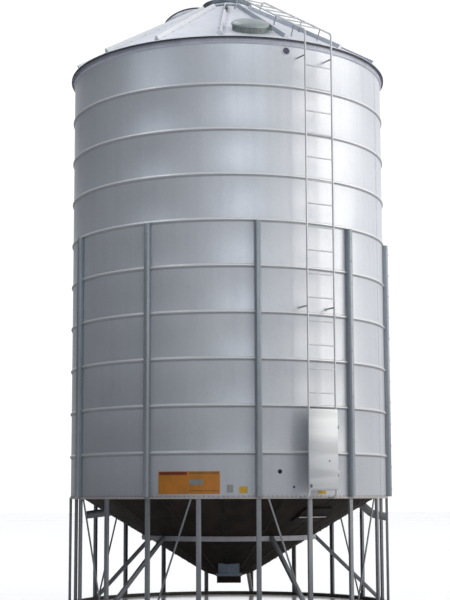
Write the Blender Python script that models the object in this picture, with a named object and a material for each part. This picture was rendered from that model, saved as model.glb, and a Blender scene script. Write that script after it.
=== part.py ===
"""Elevated grain silo of galvanised steel with a cone bottom.

Metres, +Z up. The origin is the centre of the base ring's underside, on the ground.
Azimuths are in degrees, 0 towards -Y and growing towards +X.
"""
import math

import bmesh
import bpy
from mathutils import Matrix, Vector

GAP = 0.0003
STEP = 4.5                       # degrees between the corners of every large round piece

# The shell
SKIRT_Z = 1.46                   # level from which the wall's rings of sheets are counted
WALL_R = 2.223
WALL_T = 0.012
RINGS = 10
RING_H = 0.60
BEAD_OUT = 0.018
BEAD_HALF = 0.028
WALL_SECTORS = 5
WALL_SEAM = 9.0

# The roof
SLOPE = math.radians(30.0)
EAVE_R = 2.275
EAVE_Z = SKIRT_Z + 6.036
EAVE_LIP = 0.026
ROOF_T = 0.012
ROOF_SECTORS = 4
ROOF_SEAM = -13.5
RIBS_PER_SECTOR = 4
RIB_AZ = -2.25                   # the middle of a facet
RIB_PITCH = 22.5
RIB_TOP_W = 0.03
RIB_FOOT_W = 0.07
RIB_H = 0.055
RIB_FROM = 0.46
RIB_TO = 2.235

# The hopper
CONE = math.radians(30.9)
CONE_R_AT_SKIRT = 2.007          # the cone's outside meets the level of the wall's underside here
CONE_BOTTOM_R = 0.32
HOPPER_T = 0.014
HOPPER_SECTORS = 4

# Rings
EAVE_RING_OUT = 2.243
EAVE_RING_LOW = SKIRT_Z + 5.945
BAND_OUT = 2.245
BAND_IN = 2.165
WALL_LOW = SKIRT_Z + 0.031
BAND_LOW = SKIRT_Z + 0.019
BAND_HIGH = SKIRT_Z + 0.044
MID_RING_R = 1.225
MID_RING_HIGH = SKIRT_Z - 0.476
MID_RING_H = 0.067
MID_RING_T = 0.010
BASE_H = 0.045
BASE_IN = 2.180
BASE_OUT = 2.250

# Legs stand at both sides of the front, counted from there; a stiffener stands over every other one
FRONT_LEG_AZ = 9.8
LEG_PITCH = 17.9
LEGS_A_SIDE = 10
LEG_W = 0.060
LEG_D = 0.036
LEG_R = 2.2240
STIFFENER_TOP = SKIRT_Z + 3.585
STIFFENER_W = 0.080
STIFFENER_FACE_W = 0.046
STIFFENER_D = 0.058
BRACE_W = 0.022
BRACE_T = 0.016
BRACE_SIDE = 0.100               # from a leg's centre line to the end of a brace, at head and foot
BRACE_OVER = 0.028                # how far the brace at the front right is set over to the right
BRACE_FOOT_H = 0.095
FOOT_PLATE_T = 0.010
BRACES = {1: 0, 2: 3, 6: 7}      # the leg at a brace's foot: the leg beside its head
STRUTS = {"right": (1, 5, 9), "left": (2, 6)}
STRUT_W = 0.050
STRUT_TOP_Z = SKIRT_Z - 0.4914
STRUT_FOOT_R = 2.190

# The neck at the top and its lid
NECK_R = 0.350
NECK_T = 0.008
NECK_Z = SKIRT_Z + 7.186
NECK_BAND_R = 0.370
NECK_BAND_H = 0.056
NECK_FLANGE_R = 0.405
NECK_FLANGE_T = 0.008
LID_AZ = -136.6
LID_R = 0.405
LID_T = 0.008
LID_SKIRT_H = 0.085
LID_CROWN_H = 0.070
LID_HINGE_R = 0.427
LID_HINGE_Z = SKIRT_Z + 7.292
LID_DROP = 0.062                 # from the hinge down to the skirt's edge, closed
LID_OPEN = 200.0                 # degrees from closed to where the lid lies in the photograph
KNUCKLE_R = 0.010
KNUCKLE_HALF = 0.0642
EAR_FROM = 0.065
EAR_TO = 0.080
TAB_HALF = 0.052

# The inspection hatch on the roof, hinged at its right
HATCH_AZ = 8.85
HATCH_R = 1.955
HATCH_TILT = math.radians(27.0)
HATCH_NECK_R = 0.240
HATCH_NECK_T = 0.008
HATCH_NECK_H = 0.079
HATCH_NECK_DEPTH = 0.100
HATCH_LID_R = 0.256
HATCH_LID_T = 0.006
HATCH_LID_LOW = 0.062
HATCH_LID_RIM_H = 0.026
HATCH_LID_CROWN_H = 0.062
HATCH_HINGE_OUT = 0.280
HATCH_HINGE_H = 0.075
HATCH_EAR_ROOT = -0.2233         # inside the neck's wall, which curves away behind the ears
HATCH_EAR_LOW = 0.015
ROUND_SIDES = 32

# The ladder, in its own frame: across the ladder, out from the silo's axis, up
LADDER_AZ = 29.8
LADDER_HALF = 0.2055
LADDER_OUT = 2.411
STILE_R = 0.0125
STILE_SIDES = 8
RUNG_R = 0.009
RUNG_SIDES = 6
RUNG_PITCH = 0.3073
RUNG_FIRST_Z = SKIRT_Z + 0.131
WALL_RUNGS = 19
RAIL_CORNER_Z = SKIRT_Z + 6.140
RAIL_END_OUT = 0.660
RAIL_RUNGS = 6
LADDER_BEND = 0.090
FOOT_Z = SKIRT_Z + 0.0315
STANDOFFS = (SKIRT_Z + 2.475, SKIRT_Z + 5.800)
STANDOFF_R = 0.010
RAIL_POST_OUT = (2.152, 1.700)
RAIL_POST_R = 0.008

# The sheet that closes the ladder's lower end
GUARD_HALF = 0.222
GUARD_LOW = SKIRT_Z + 0.134
GUARD_HIGH = SKIRT_Z + 1.154
GUARD_T = 0.006
GUARD_OUT = 2.4320
GUARD_HINGE_SIDE = 0.238
GUARD_HINGE_Z = (SKIRT_Z + 0.33, SKIRT_Z + 0.94)
GUARD_KNUCKLE_H = 0.040
GUARD_KNUCKLE_R = 0.007
LUG_H = 0.030
LUG_GAP = 0.0008

# Below the cone
SPOUT_HALF = 0.168
SPOUT_T = 0.008
SPOUT_LOW = SKIRT_Z - 1.145
DISH_Z = SKIRT_Z - 1.052
DOOR_HALF = 0.145
DOOR_FRONT = 0.560
DOOR_TOP = SKIRT_Z - 0.800
DOOR_LOW = SKIRT_Z - 0.992
DOOR_BACK = 0.400
DOOR_LIP_HALF = 0.178
DOOR_LIP_T = 0.036
DOOR_LIP_OUT = 0.070
MANHOLE_AZ = 40.0
MANHOLE_R = 1.70
MANHOLE_HALF = 0.235
MANHOLE_HALF_UP = 0.170
MANHOLE_PROUD = 0.022
MANHOLE_BAR = 0.024
PIPE_R = 0.056
PIPE_SIDES = 16


def clear_scene():
    for obj in list(bpy.data.objects):
        bpy.data.objects.remove(obj, do_unlink=True)


def material(name, colour, roughness, metallic):
    mat = bpy.data.materials.new(name)
    mat.use_nodes = True
    mat.diffuse_color = (*colour, 1.0)
    shader = mat.node_tree.nodes["Principled BSDF"]
    shader.inputs["Base Color"].default_value = (*colour, 1.0)
    shader.inputs["Roughness"].default_value = roughness
    shader.inputs["Metallic"].default_value = metallic
    return mat


def out_dir(azimuth):
    a = math.radians(azimuth)
    return Vector((math.sin(a), -math.cos(a), 0.0))


def side_dir(azimuth):
    a = math.radians(azimuth)
    return Vector((math.cos(a), math.sin(a), 0.0))


def at(azimuth, radius, z):
    return out_dir(azimuth) * radius + Vector((0.0, 0.0, z))


def frame_at(azimuth, radius, z):
    """A frame at a point of the shell: x across, y towards the axis, z up."""
    return Matrix.Rotation(math.radians(azimuth), 4, "Z") @ Matrix.Translation((0, -radius, z))


def surface_out(side, azimuth, radius):
    """How far out a faceted round wall is, at a distance to the side of an azimuth."""
    flat = radius * math.cos(math.radians(STEP / 2))
    nearest = []
    first = math.floor((azimuth - 15) / STEP)
    for i in range(first, first + 8):
        turn = math.radians((i + 0.5) * STEP - azimuth)
        nearest.append((flat - side * math.sin(turn)) / math.cos(turn))
    return min(nearest)


def seat_out(side, half, azimuth, radius):
    """How far out a square-cut piece of a given half width has to stop, a hair off the wall."""
    places = [side + i * half / 4 for i in range(-4, 5)]
    return max(surface_out(place, azimuth, radius) for place in places) + GAP


def add_object(name, bm, mat, sharp=None, matrix=None, parent=None):
    bmesh.ops.recalc_face_normals(bm, faces=bm.faces)
    mesh = bpy.data.meshes.new(name)
    bm.to_mesh(mesh)
    bm.free()
    mesh.materials.append(mat)
    obj = bpy.data.objects.new(name, mesh)
    bpy.context.scene.collection.objects.link(obj)
    if sharp is not None:
        mesh.shade_smooth()
        mesh.set_sharp_from_angle(angle=math.radians(sharp))
    if parent is not None:
        obj.parent = parent
    if matrix is not None:
        obj.matrix_basis = matrix
    return obj


def add_empty(name, matrix):
    empty = bpy.data.objects.new(name, None)
    empty.matrix_basis = matrix
    bpy.context.scene.collection.objects.link(empty)
    return empty


def boolean(obj, tool, operation):
    tool.hide_render = True
    tool.display_type = "WIRE"
    mod = obj.modifiers.new(tool.name, "BOOLEAN")
    mod.operation = operation
    mod.solver = "EXACT"
    mod.object = tool


def spin_profile(bm, profile, start=0.0, turn=360.0, step=STEP, matrix=None):
    """Turn a closed profile of (radius, height) points about the Z axis."""
    verts = [bm.verts.new(at(start, r, z)) for r, z in profile]
    ends_on_axis = profile[0][0] == 0.0 and profile[-1][0] == 0.0
    pairs = list(zip(verts, verts[1:]))
    if not ends_on_axis:
        pairs.append((verts[-1], verts[0]))
    edges = [bm.edges.new(pair) for pair in pairs]
    steps = round(turn / step)
    bmesh.ops.spin(bm, geom=verts + edges, cent=(0, 0, 0), axis=(0, 0, 1),
                   angle=math.radians(turn), steps=steps)
    if turn == 360.0:
        bmesh.ops.remove_doubles(bm, verts=bm.verts, dist=0.0001)
    else:
        rim = [edge for edge in bm.edges if edge.is_boundary]
        bmesh.ops.holes_fill(bm, edges=rim, sides=0)
    if matrix is not None:
        bmesh.ops.transform(bm, matrix=matrix, verts=bm.verts)


def add_block(bm, low, high, matrix=None):
    low, high = Vector(low), Vector(high)
    size = high - low
    place = Matrix.Translation((low + high) / 2) @ Matrix.Diagonal((*size, 1.0))
    if matrix is not None:
        place = matrix @ place
    bmesh.ops.create_cube(bm, size=1.0, matrix=place)


def add_extrusion(bm, corners, vec, matrix):
    """A solid between a flat outline and the same outline moved by a vector."""
    first = [bm.verts.new(matrix @ Vector(corner)) for corner in corners]
    last = [bm.verts.new(matrix @ (Vector(corner) + Vector(vec))) for corner in corners]
    bm.faces.new(first)
    bm.faces.new(last)
    for i in range(len(first)):
        k = (i + 1) % len(first)
        bm.faces.new((first[i], first[k], last[k], last[i]))


def add_prism(bm, outline, low, high, matrix=Matrix()):
    """Extrude an outline of (y, z) points along x."""
    add_extrusion(bm, [(low, y, z) for y, z in outline], (high - low, 0, 0), matrix)


def add_prism_up(bm, outline, low, high, matrix=Matrix()):
    """Extrude an outline of (x, y) points upwards."""
    add_extrusion(bm, [(x, y, low) for x, y in outline], (0, 0, high - low), matrix)


def add_cone_frustum(bm, radius, top_radius, low, high, sides, matrix):
    place = matrix @ Matrix.Translation((0, 0, (low + high) / 2))
    bmesh.ops.create_cone(bm, cap_ends=True, segments=sides, radius1=radius,
                          radius2=top_radius, depth=high - low, matrix=place)


def add_rod(bm, start, end, radius, sides):
    along = end - start
    turn = along.to_track_quat("Z", "Y").to_matrix().to_4x4()
    place = Matrix.Translation((start + end) / 2) @ turn
    bmesh.ops.create_cone(bm, cap_ends=True, segments=sides, radius1=radius,
                          radius2=radius, depth=along.length, matrix=place)


def rounded_path(points, bend, steps=4):
    """Replace each inner corner of a plane path by a short arc."""
    path = [points[0]]
    for before, corner, after in zip(points, points[1:], points[2:]):
        a = (before - corner).normalized()
        b = (after - corner).normalized()
        half = a.angle(b) / 2
        reach = bend / math.tan(half)
        centre = corner + (a + b).normalized() * (bend / math.sin(half))
        first = (corner + a * reach - centre).normalized()
        last = (corner + b * reach - centre).normalized()
        for i in range(steps + 1):
            path.append(centre + first.slerp(last, i / steps).normalized() * bend)
    path.append(points[-1])
    return path


def add_tube(bm, path, radius, sides, across):
    """Sweep a round section along a path that lies in the plane normal to across."""
    rings = []
    for i, point in enumerate(path):
        before = (point - path[i - 1]).normalized() if i else None
        after = (path[i + 1] - point).normalized() if i + 1 < len(path) else None
        along = ((before or after) + (after or before)).normalized()
        up = along.cross(across).normalized()
        stretch = 1.0 / along.dot(after or before)
        ring = []
        for k in range(sides):
            angle = 2 * math.pi * (k + 0.5) / sides
            offset = across * math.cos(angle) + up * (math.sin(angle) * stretch)
            ring.append(bm.verts.new(point + offset * radius))
        rings.append(ring)
    for ring, following in zip(rings, rings[1:]):
        for k in range(sides):
            m = (k + 1) % sides
            bm.faces.new((ring[k], ring[m], following[m], following[k]))
    bm.faces.new(rings[0])
    bm.faces.new(rings[-1])


def roof_z(radius):
    return EAVE_Z + (EAVE_R - radius) * math.tan(SLOPE)


def roof_z_at(point):
    """The height of the faceted roof at a point's x and y."""
    azimuth = math.degrees(math.atan2(point.x, -point.y)) % STEP - STEP / 2
    radius = math.hypot(point.x, point.y)
    return roof_z(radius * math.cos(math.radians(azimuth)) / math.cos(math.radians(STEP / 2)))


def cone_z(radius):
    return SKIRT_Z - (CONE_R_AT_SKIRT - radius) * math.tan(CONE)


def cone_r(z):
    return CONE_R_AT_SKIRT - (SKIRT_Z - z) / math.tan(CONE)


def make_walls(mat):
    top = SKIRT_Z + RINGS * RING_H
    profile = [(WALL_R, WALL_LOW)]
    for i in range(1, RINGS):
        z = SKIRT_Z + i * RING_H
        profile += [(WALL_R, z - BEAD_HALF), (WALL_R + BEAD_OUT, z), (WALL_R, z + BEAD_HALF)]
    profile += [(WALL_R, top), (WALL_R - WALL_T, top), (WALL_R - WALL_T, WALL_LOW)]
    for i in range(WALL_SECTORS):
        add_sector(f"wall_{i + 1}", profile, WALL_SEAM, WALL_SECTORS, i, mat)


def add_sector(name, profile, seam, count, i, mat):
    """One of several equal sectors of a turned shell, each drawn back a hair at its ends."""
    span = 360.0 / count
    start = seam + i * span
    bm = bmesh.new()
    spin_profile(bm, profile, start, span)
    for vert in bm.verts:
        along = (math.degrees(math.atan2(vert.co.x, -vert.co.y)) - start + 1.0) % 360.0 - 1.0
        if abs(along) < 0.01:
            vert.co += side_dir(start) * (GAP / 2)
        elif abs(along - span) < 0.01:
            vert.co -= side_dir(start + span) * (GAP / 2)
    return add_object(name, bm, mat, sharp=20)


def make_roof(mat, hatch_tool):
    edge = NECK_R + GAP
    profile = [
        (edge, roof_z(edge)),
        (EAVE_R, EAVE_Z),
        (EAVE_R, EAVE_Z - EAVE_LIP),
        (EAVE_R - ROOF_T, EAVE_Z - EAVE_LIP),
        (EAVE_R - ROOF_T, roof_z(EAVE_R - ROOF_T) - ROOF_T),
        (edge, roof_z(edge) - ROOF_T),
    ]
    for i in range(ROOF_SECTORS):
        sector = add_sector(f"roof_{i + 1}", profile, ROOF_SEAM, ROOF_SECTORS, i, mat)
        boolean(sector, make_ribs(i, mat), "UNION")
        if i == 0:
            boolean(sector, hatch_tool, "DIFFERENCE")


def make_ribs(sector, mat):
    """The raised ribs of one roof sector, square-cut at the eave."""
    bm = bmesh.new()
    sink = -ROOF_T / 2
    section = ((-RIB_FOOT_W / 2, sink), (RIB_FOOT_W / 2, sink), (RIB_TOP_W / 2, RIB_H), (-RIB_TOP_W / 2, RIB_H))
    for k in range(RIBS_PER_SECTOR):
        azimuth = RIB_AZ + (sector * RIBS_PER_SECTOR + k) * RIB_PITCH
        corners = []
        for radius in (RIB_FROM, RIB_TO):
            for across, up in section:
                corners.append(at(azimuth, radius, roof_z(radius) + up) + side_dir(azimuth) * across)
        add_hexahedron(bm, corners)
    return add_object(f"ribs_{sector + 1}", bm, mat)


def make_hopper(mat):
    top_r = WALL_R - WALL_T - GAP
    profile = [
        (CONE_BOTTOM_R, cone_z(CONE_BOTTOM_R)),
        (top_r, cone_z(top_r)),
        (top_r, cone_z(top_r) + HOPPER_T),
        (CONE_BOTTOM_R, cone_z(CONE_BOTTOM_R) + HOPPER_T),
    ]
    for i in range(HOPPER_SECTORS):
        add_sector(f"hopper_{i + 1}", profile, ROOF_SEAM, HOPPER_SECTORS, i, mat)


def make_ring(name, profile, mat):
    bm = bmesh.new()
    spin_profile(bm, profile)
    add_object(name, bm, mat, sharp=20)


def make_rings(mat):
    top = SKIRT_Z + RINGS * RING_H + GAP
    inner = WALL_R - WALL_T - 0.010
    under = -ROOF_T - GAP / math.cos(SLOPE)
    make_ring("eave_ring", [
        (WALL_R + GAP, EAVE_RING_LOW),
        (EAVE_RING_OUT, EAVE_RING_LOW),
        (EAVE_RING_OUT, roof_z(EAVE_RING_OUT) + under),
        (inner, roof_z(inner) + under),
        (inner, top),
        (WALL_R + GAP, top),
    ], mat)
    make_ring("bottom_ring", [
        (WALL_R + GAP, WALL_LOW - GAP),
        (WALL_R + GAP, BAND_HIGH),
        (BAND_OUT, BAND_HIGH),
        (BAND_OUT, BAND_LOW),
        (BAND_IN, BAND_LOW),
        (BAND_IN, WALL_LOW - GAP),
    ], mat)
    low = MID_RING_HIGH - MID_RING_H
    inner_low = MID_RING_HIGH - MID_RING_T
    clear = GAP / math.sin(CONE)
    make_ring("mid_ring", [
        (MID_RING_R, MID_RING_HIGH),
        (MID_RING_R, low),
        (MID_RING_R - MID_RING_T, low),
        (MID_RING_R - MID_RING_T, inner_low),
        (cone_r(inner_low) + clear, inner_low),
        (cone_r(MID_RING_HIGH) + clear, MID_RING_HIGH),
    ], mat)
    make_ring("base_ring", [
        (BASE_OUT, BASE_H),
        (BASE_OUT, 0.0),
        (BASE_IN, 0.0),
        (BASE_IN, BASE_H),
    ], mat)


def leg_azimuth(side, k):
    return (1 if side == "right" else -1) * (FRONT_LEG_AZ + k * LEG_PITCH)


def make_stiffeners(mat):
    low, high = BAND_HIGH + GAP, STIFFENER_TOP
    half, face = STIFFENER_W / 2, STIFFENER_FACE_W / 2
    fold = -STIFFENER_D * 0.62
    outline = [(-half, 0.0), (half, 0.0), (half, fold), (face, -STIFFENER_D),
               (-face, -STIFFENER_D), (-half, fold)]
    for side, first in (("right", 0), ("left", 1)):
        for k in range(first, LEGS_A_SIDE, 2):
            azimuth = leg_azimuth(side, k)
            back = seat_out(0.0, half, azimuth, WALL_R + BEAD_OUT)
            bm = bmesh.new()
            add_prism_up(bm, outline, 0.0, high - low)
            add_object(f"stiffener_{side}_{k + 1}", bm, mat, matrix=frame_at(azimuth, back, low))


def add_brace(bm, top_az, foot_az, over):
    """A flat brace from under the bottom ring, beside one leg, to beside the foot of the next."""
    towards = math.copysign(1.0, foot_az - top_az)
    head = at(top_az, LEG_R, BAND_LOW - GAP) + side_dir(top_az) * ((BRACE_SIDE + over) * towards)
    foot = at(foot_az, LEG_R, BASE_H + GAP) - side_dir(foot_az) * ((BRACE_SIDE - over) * towards)
    run = foot - head
    middle = (top_az + foot_az) / 2
    half = BRACE_W / 2 * run.length / abs(run.z)
    corners = []
    for end in (foot, head):
        for x, y in ((-half, -1), (half, -1), (half, 1), (-half, 1)):
            corners.append(end + side_dir(middle) * x + out_dir(middle) * (y * BRACE_T / 2))
    add_hexahedron(bm, corners)


def add_hexahedron(bm, corners):
    """A solid with four corners at one end and four at the other, in the same order."""
    verts = [bm.verts.new(corner) for corner in corners]
    bm.faces.new(verts[0:4])
    bm.faces.new(verts[4:8])
    for i in range(4):
        k = (i + 1) % 4
        bm.faces.new((verts[i], verts[k], verts[k + 4], verts[i + 4]))


def add_foot_plate(bm, azimuth, towards):
    """The plate at a leg's foot that the brace is joined to."""
    far = towards * (BRACE_SIDE + BRACE_W / 2)
    low, high = sorted((0.0, far))
    add_block(bm, (low, -FOOT_PLATE_T / 2, BASE_H + GAP), (high, FOOT_PLATE_T / 2, BRACE_FOOT_H),
              frame_at(azimuth, LEG_R, 0.0))


def add_strut(bm, azimuth):
    """A square strut from the outside of the hopper's ring down to the base ring and its leg."""
    face, floor = MID_RING_R + GAP, BASE_H + GAP
    slope = (STRUT_TOP_Z - floor) / (STRUT_FOOT_R - face)
    upright = STRUT_W / 2 * math.hypot(1.0, slope)
    run = upright / slope
    cut = (STRUT_TOP_Z + upright - MID_RING_HIGH) / slope
    outline = [(-face, STRUT_TOP_Z - upright), (-face, MID_RING_HIGH), (-face - cut, MID_RING_HIGH),
               (-STRUT_FOOT_R - run, floor), (-STRUT_FOOT_R + run, floor)]
    add_prism(bm, outline, -STRUT_W / 2, STRUT_W / 2, frame_at(azimuth, 0.0, 0.0))


def make_legs(mat):
    """A brace or a strut is one piece with the leg whose foot it stands at."""
    for side, sign in (("right", 1), ("left", -1)):
        for k in range(LEGS_A_SIDE):
            azimuth = leg_azimuth(side, k)
            name = f"leg_{side}_{k + 1}"
            bm = bmesh.new()
            add_block(bm, (-LEG_W / 2, -LEG_D / 2, BASE_H + GAP),
                      (LEG_W / 2, LEG_D / 2, BAND_LOW - GAP), frame_at(azimuth, LEG_R, 0.0))
            leg = add_object(name, bm, mat)
            if k in BRACES:
                head = BRACES[k]
                brace = bmesh.new()
                add_brace(brace, leg_azimuth(side, head), azimuth, BRACE_OVER if (side, k) == ("right", 1) else 0.0)
                plate = bmesh.new()
                add_foot_plate(plate, azimuth, sign * (head - k))
                boolean(leg, add_object(name + "_foot_plate", plate, mat), "UNION")
                boolean(leg, add_object(name + "_brace", brace, mat), "UNION")
            if k in STRUTS[side]:
                strut = bmesh.new()
                add_strut(strut, azimuth)
                boolean(leg, add_object(name + "_strut", strut, mat), "UNION")


def make_neck(mat):
    """The collar round the top opening, on its flange, with the two ears that carry the lid."""
    foot = roof_z(NECK_R) - ROOF_T
    seat = GAP / math.cos(SLOPE)
    flange = seat + NECK_FLANGE_T
    band = NECK_Z + NECK_BAND_H
    inner = NECK_R - NECK_T
    bm = bmesh.new()
    spin_profile(bm, [
        (NECK_R, foot),
        (NECK_R, roof_z(NECK_R) + seat),
        (NECK_FLANGE_R, roof_z(NECK_FLANGE_R) + seat),
        (NECK_FLANGE_R, roof_z(NECK_FLANGE_R) + flange),
        (NECK_R, roof_z(NECK_R) + flange),
        (NECK_R, NECK_Z),
        (NECK_BAND_R, NECK_Z),
        (NECK_BAND_R, band),
        (inner, band),
        (inner, foot),
    ])
    neck = add_object("top_neck", bm, mat, sharp=20)
    frame = frame_at(LID_AZ, 0.0, 0.0)
    low, high = NECK_Z - 0.022, NECK_Z - 0.004
    reach = LID_HINGE_R + KNUCKLE_R
    arm = bmesh.new()
    add_block(arm, (-EAR_TO, -reach, low), (EAR_TO, -NECK_R + NECK_T / 2, high), frame)
    boolean(neck, add_object("top_neck_arm", arm, mat), "UNION")
    ears = bmesh.new()
    for side in (-1, 1):
        x0, x1 = sorted((side * EAR_FROM, side * EAR_TO))
        add_block(ears, (x0, 0.001 - reach, low + 0.005),
                  (x1, KNUCKLE_R - LID_HINGE_R, LID_HINGE_Z + KNUCKLE_R), frame)
    boolean(neck, add_object("top_neck_ears", ears, mat), "UNION")


def add_knuckle(piece, name, tab, mat, pivot):
    """A hinge knuckle on a lid's pivot, and the tab of (y, z) points that joins them."""
    rod = bmesh.new()
    add_rod(rod, Vector((-KNUCKLE_HALF, 0, 0)), Vector((KNUCKLE_HALF, 0, 0)), KNUCKLE_R, 12)
    boolean(piece, add_object(name + "_knuckle", rod, mat, parent=pivot), "UNION")
    bm = bmesh.new()
    add_prism(bm, tab, -TAB_HALF, TAB_HALF)
    boolean(piece, add_object(name + "_tab", bm, mat, parent=pivot), "UNION")


def make_lid(mat):
    """The top lid, made closed in the frame of its hinge and then turned open."""
    hinge = frame_at(LID_AZ, LID_HINGE_R, LID_HINGE_Z)
    pivot = add_empty("main_lid_hinge", hinge @ Matrix.Rotation(math.radians(LID_OPEN), 4, "X"))
    edge = -LID_DROP
    shoulder = edge + LID_SKIRT_H
    crown = shoulder + LID_CROWN_H
    outer = [
        (0.0, crown),
        (LID_R * 0.35, crown - LID_CROWN_H * 0.10),
        (LID_R * 0.72, shoulder + LID_CROWN_H * 0.45),
        (LID_R, shoulder),
    ]
    inner = [(r, z - LID_T) for r, z in reversed(outer[:3])]
    skirt = [(LID_R, edge), (LID_R - LID_T, edge), (LID_R - LID_T, shoulder - LID_T)]
    bm = bmesh.new()
    spin_profile(bm, outer + skirt + inner, step=360.0 / ROUND_SIDES,
                 matrix=Matrix.Translation((0, LID_HINGE_R, 0)))
    lid = add_object("main_lid", bm, mat, sharp=30, parent=pivot)
    near = LID_HINGE_R - LID_R + 0.0055
    tab = [(near, -0.006), (near, 0.014), (0.0, 0.006), (0.0, -0.006)]
    add_knuckle(lid, "main_lid", tab, mat, pivot)


def hatch_frame():
    """The hatch's frame: x uphill, y away from its hinge, z out of the roof."""
    place = frame_at(HATCH_AZ, HATCH_R, roof_z(HATCH_R))
    return place @ Matrix.Rotation(HATCH_TILT, 4, "X") @ Matrix.Rotation(math.pi / 2, 4, "Z")


def hatch_tool(mat):
    bm = bmesh.new()
    radius = HATCH_NECK_R + GAP
    half = HATCH_NECK_DEPTH + HATCH_NECK_H
    add_cone_frustum(bm, radius, radius, -half, half, ROUND_SIDES, hatch_frame())
    return add_object("hatch_hole", bm, mat)


def make_hatch(mat):
    frame = hatch_frame()
    inner = HATCH_NECK_R - HATCH_NECK_T
    bm = bmesh.new()
    spin_profile(bm, [
        (HATCH_NECK_R, -HATCH_NECK_DEPTH),
        (HATCH_NECK_R, HATCH_NECK_H),
        (inner, HATCH_NECK_H),
        (inner, -HATCH_NECK_DEPTH),
    ], step=360.0 / ROUND_SIDES, matrix=frame)
    neck = add_object("hatch_neck", bm, mat, sharp=30)
    ears = bmesh.new()
    out, top = -HATCH_HINGE_OUT, HATCH_HINGE_H + KNUCKLE_R
    arm = HATCH_LID_LOW - 0.015
    outline = [(HATCH_EAR_ROOT, HATCH_EAR_LOW), (HATCH_EAR_ROOT, arm), (out + KNUCKLE_R, arm),
               (out + KNUCKLE_R, top), (out - KNUCKLE_R, top), (out - KNUCKLE_R, HATCH_EAR_LOW)]
    for side in (-1, 1):
        x0, x1 = sorted((side * EAR_FROM, side * EAR_TO))
        add_prism(ears, outline, x0, x1, frame)
    boolean(neck, add_object("hatch_ears", ears, mat), "UNION")

    pivot = add_empty("hatch_lid_hinge", frame @ Matrix.Translation((0, out, HATCH_HINGE_H)))
    low = HATCH_LID_LOW - HATCH_HINGE_H
    rim = low + HATCH_LID_RIM_H
    crown = rim + HATCH_LID_CROWN_H
    inside = HATCH_LID_R - HATCH_LID_T
    under = HATCH_NECK_H + 0.006 - HATCH_HINGE_H
    lid_bm = bmesh.new()
    spin_profile(lid_bm, [
        (0.0, crown),
        (HATCH_LID_R * 0.45, crown - HATCH_LID_CROWN_H * 0.16),
        (HATCH_LID_R * 0.80, rim + HATCH_LID_CROWN_H * 0.42),
        (HATCH_LID_R, rim),
        (HATCH_LID_R, low),
        (inside, low),
        (inside, under),
        (0.0, under),
    ], step=360.0 / ROUND_SIDES, matrix=Matrix.Translation((0, HATCH_HINGE_OUT, 0)))
    lid = add_object("hatch_lid", lid_bm, mat, sharp=30, parent=pivot)
    near = HATCH_HINGE_OUT - HATCH_LID_R + 0.0056
    add_knuckle(lid, "hatch_lid", [(near, -0.006), (near, 0.008), (0.0, 0.006), (0.0, -0.006)], mat, pivot)


def ladder_point(side, out, z):
    return side_dir(LADDER_AZ) * side + out_dir(LADDER_AZ) * out + Vector((0, 0, z))


def rail_z(out):
    return RAIL_CORNER_Z + (LADDER_OUT - out) * math.tan(SLOPE)


def drop_to_roof(side, out, radius):
    """Where a rod of a given radius ends, that drops from a rail square to the roof."""
    down = 0.0
    for _ in range(4):
        point = ladder_point(side, out - down * math.sin(SLOPE), rail_z(out) - down * math.cos(SLOPE))
        down += (point.z - roof_z_at(point)) * math.cos(SLOPE)
    turn = math.atan(abs(side) / out) + math.radians(STEP / 2)
    down -= GAP + radius * turn * math.sin(SLOPE)
    return ladder_point(side, out - down * math.sin(SLOPE), rail_z(out) - down * math.cos(SLOPE))


def stile_path(side):
    """From the bottom ring out, up the wall, over the eave and up the roof to its end."""
    corners = [
        ladder_point(side, seat_out(side, STILE_R, LADDER_AZ, BAND_OUT), FOOT_Z),
        ladder_point(side, LADDER_OUT, FOOT_Z),
        ladder_point(side, LADDER_OUT, RAIL_CORNER_Z),
        ladder_point(side, RAIL_END_OUT, rail_z(RAIL_END_OUT)),
        drop_to_roof(side, RAIL_END_OUT, STILE_R),
    ]
    return rounded_path(corners, LADDER_BEND)


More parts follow.
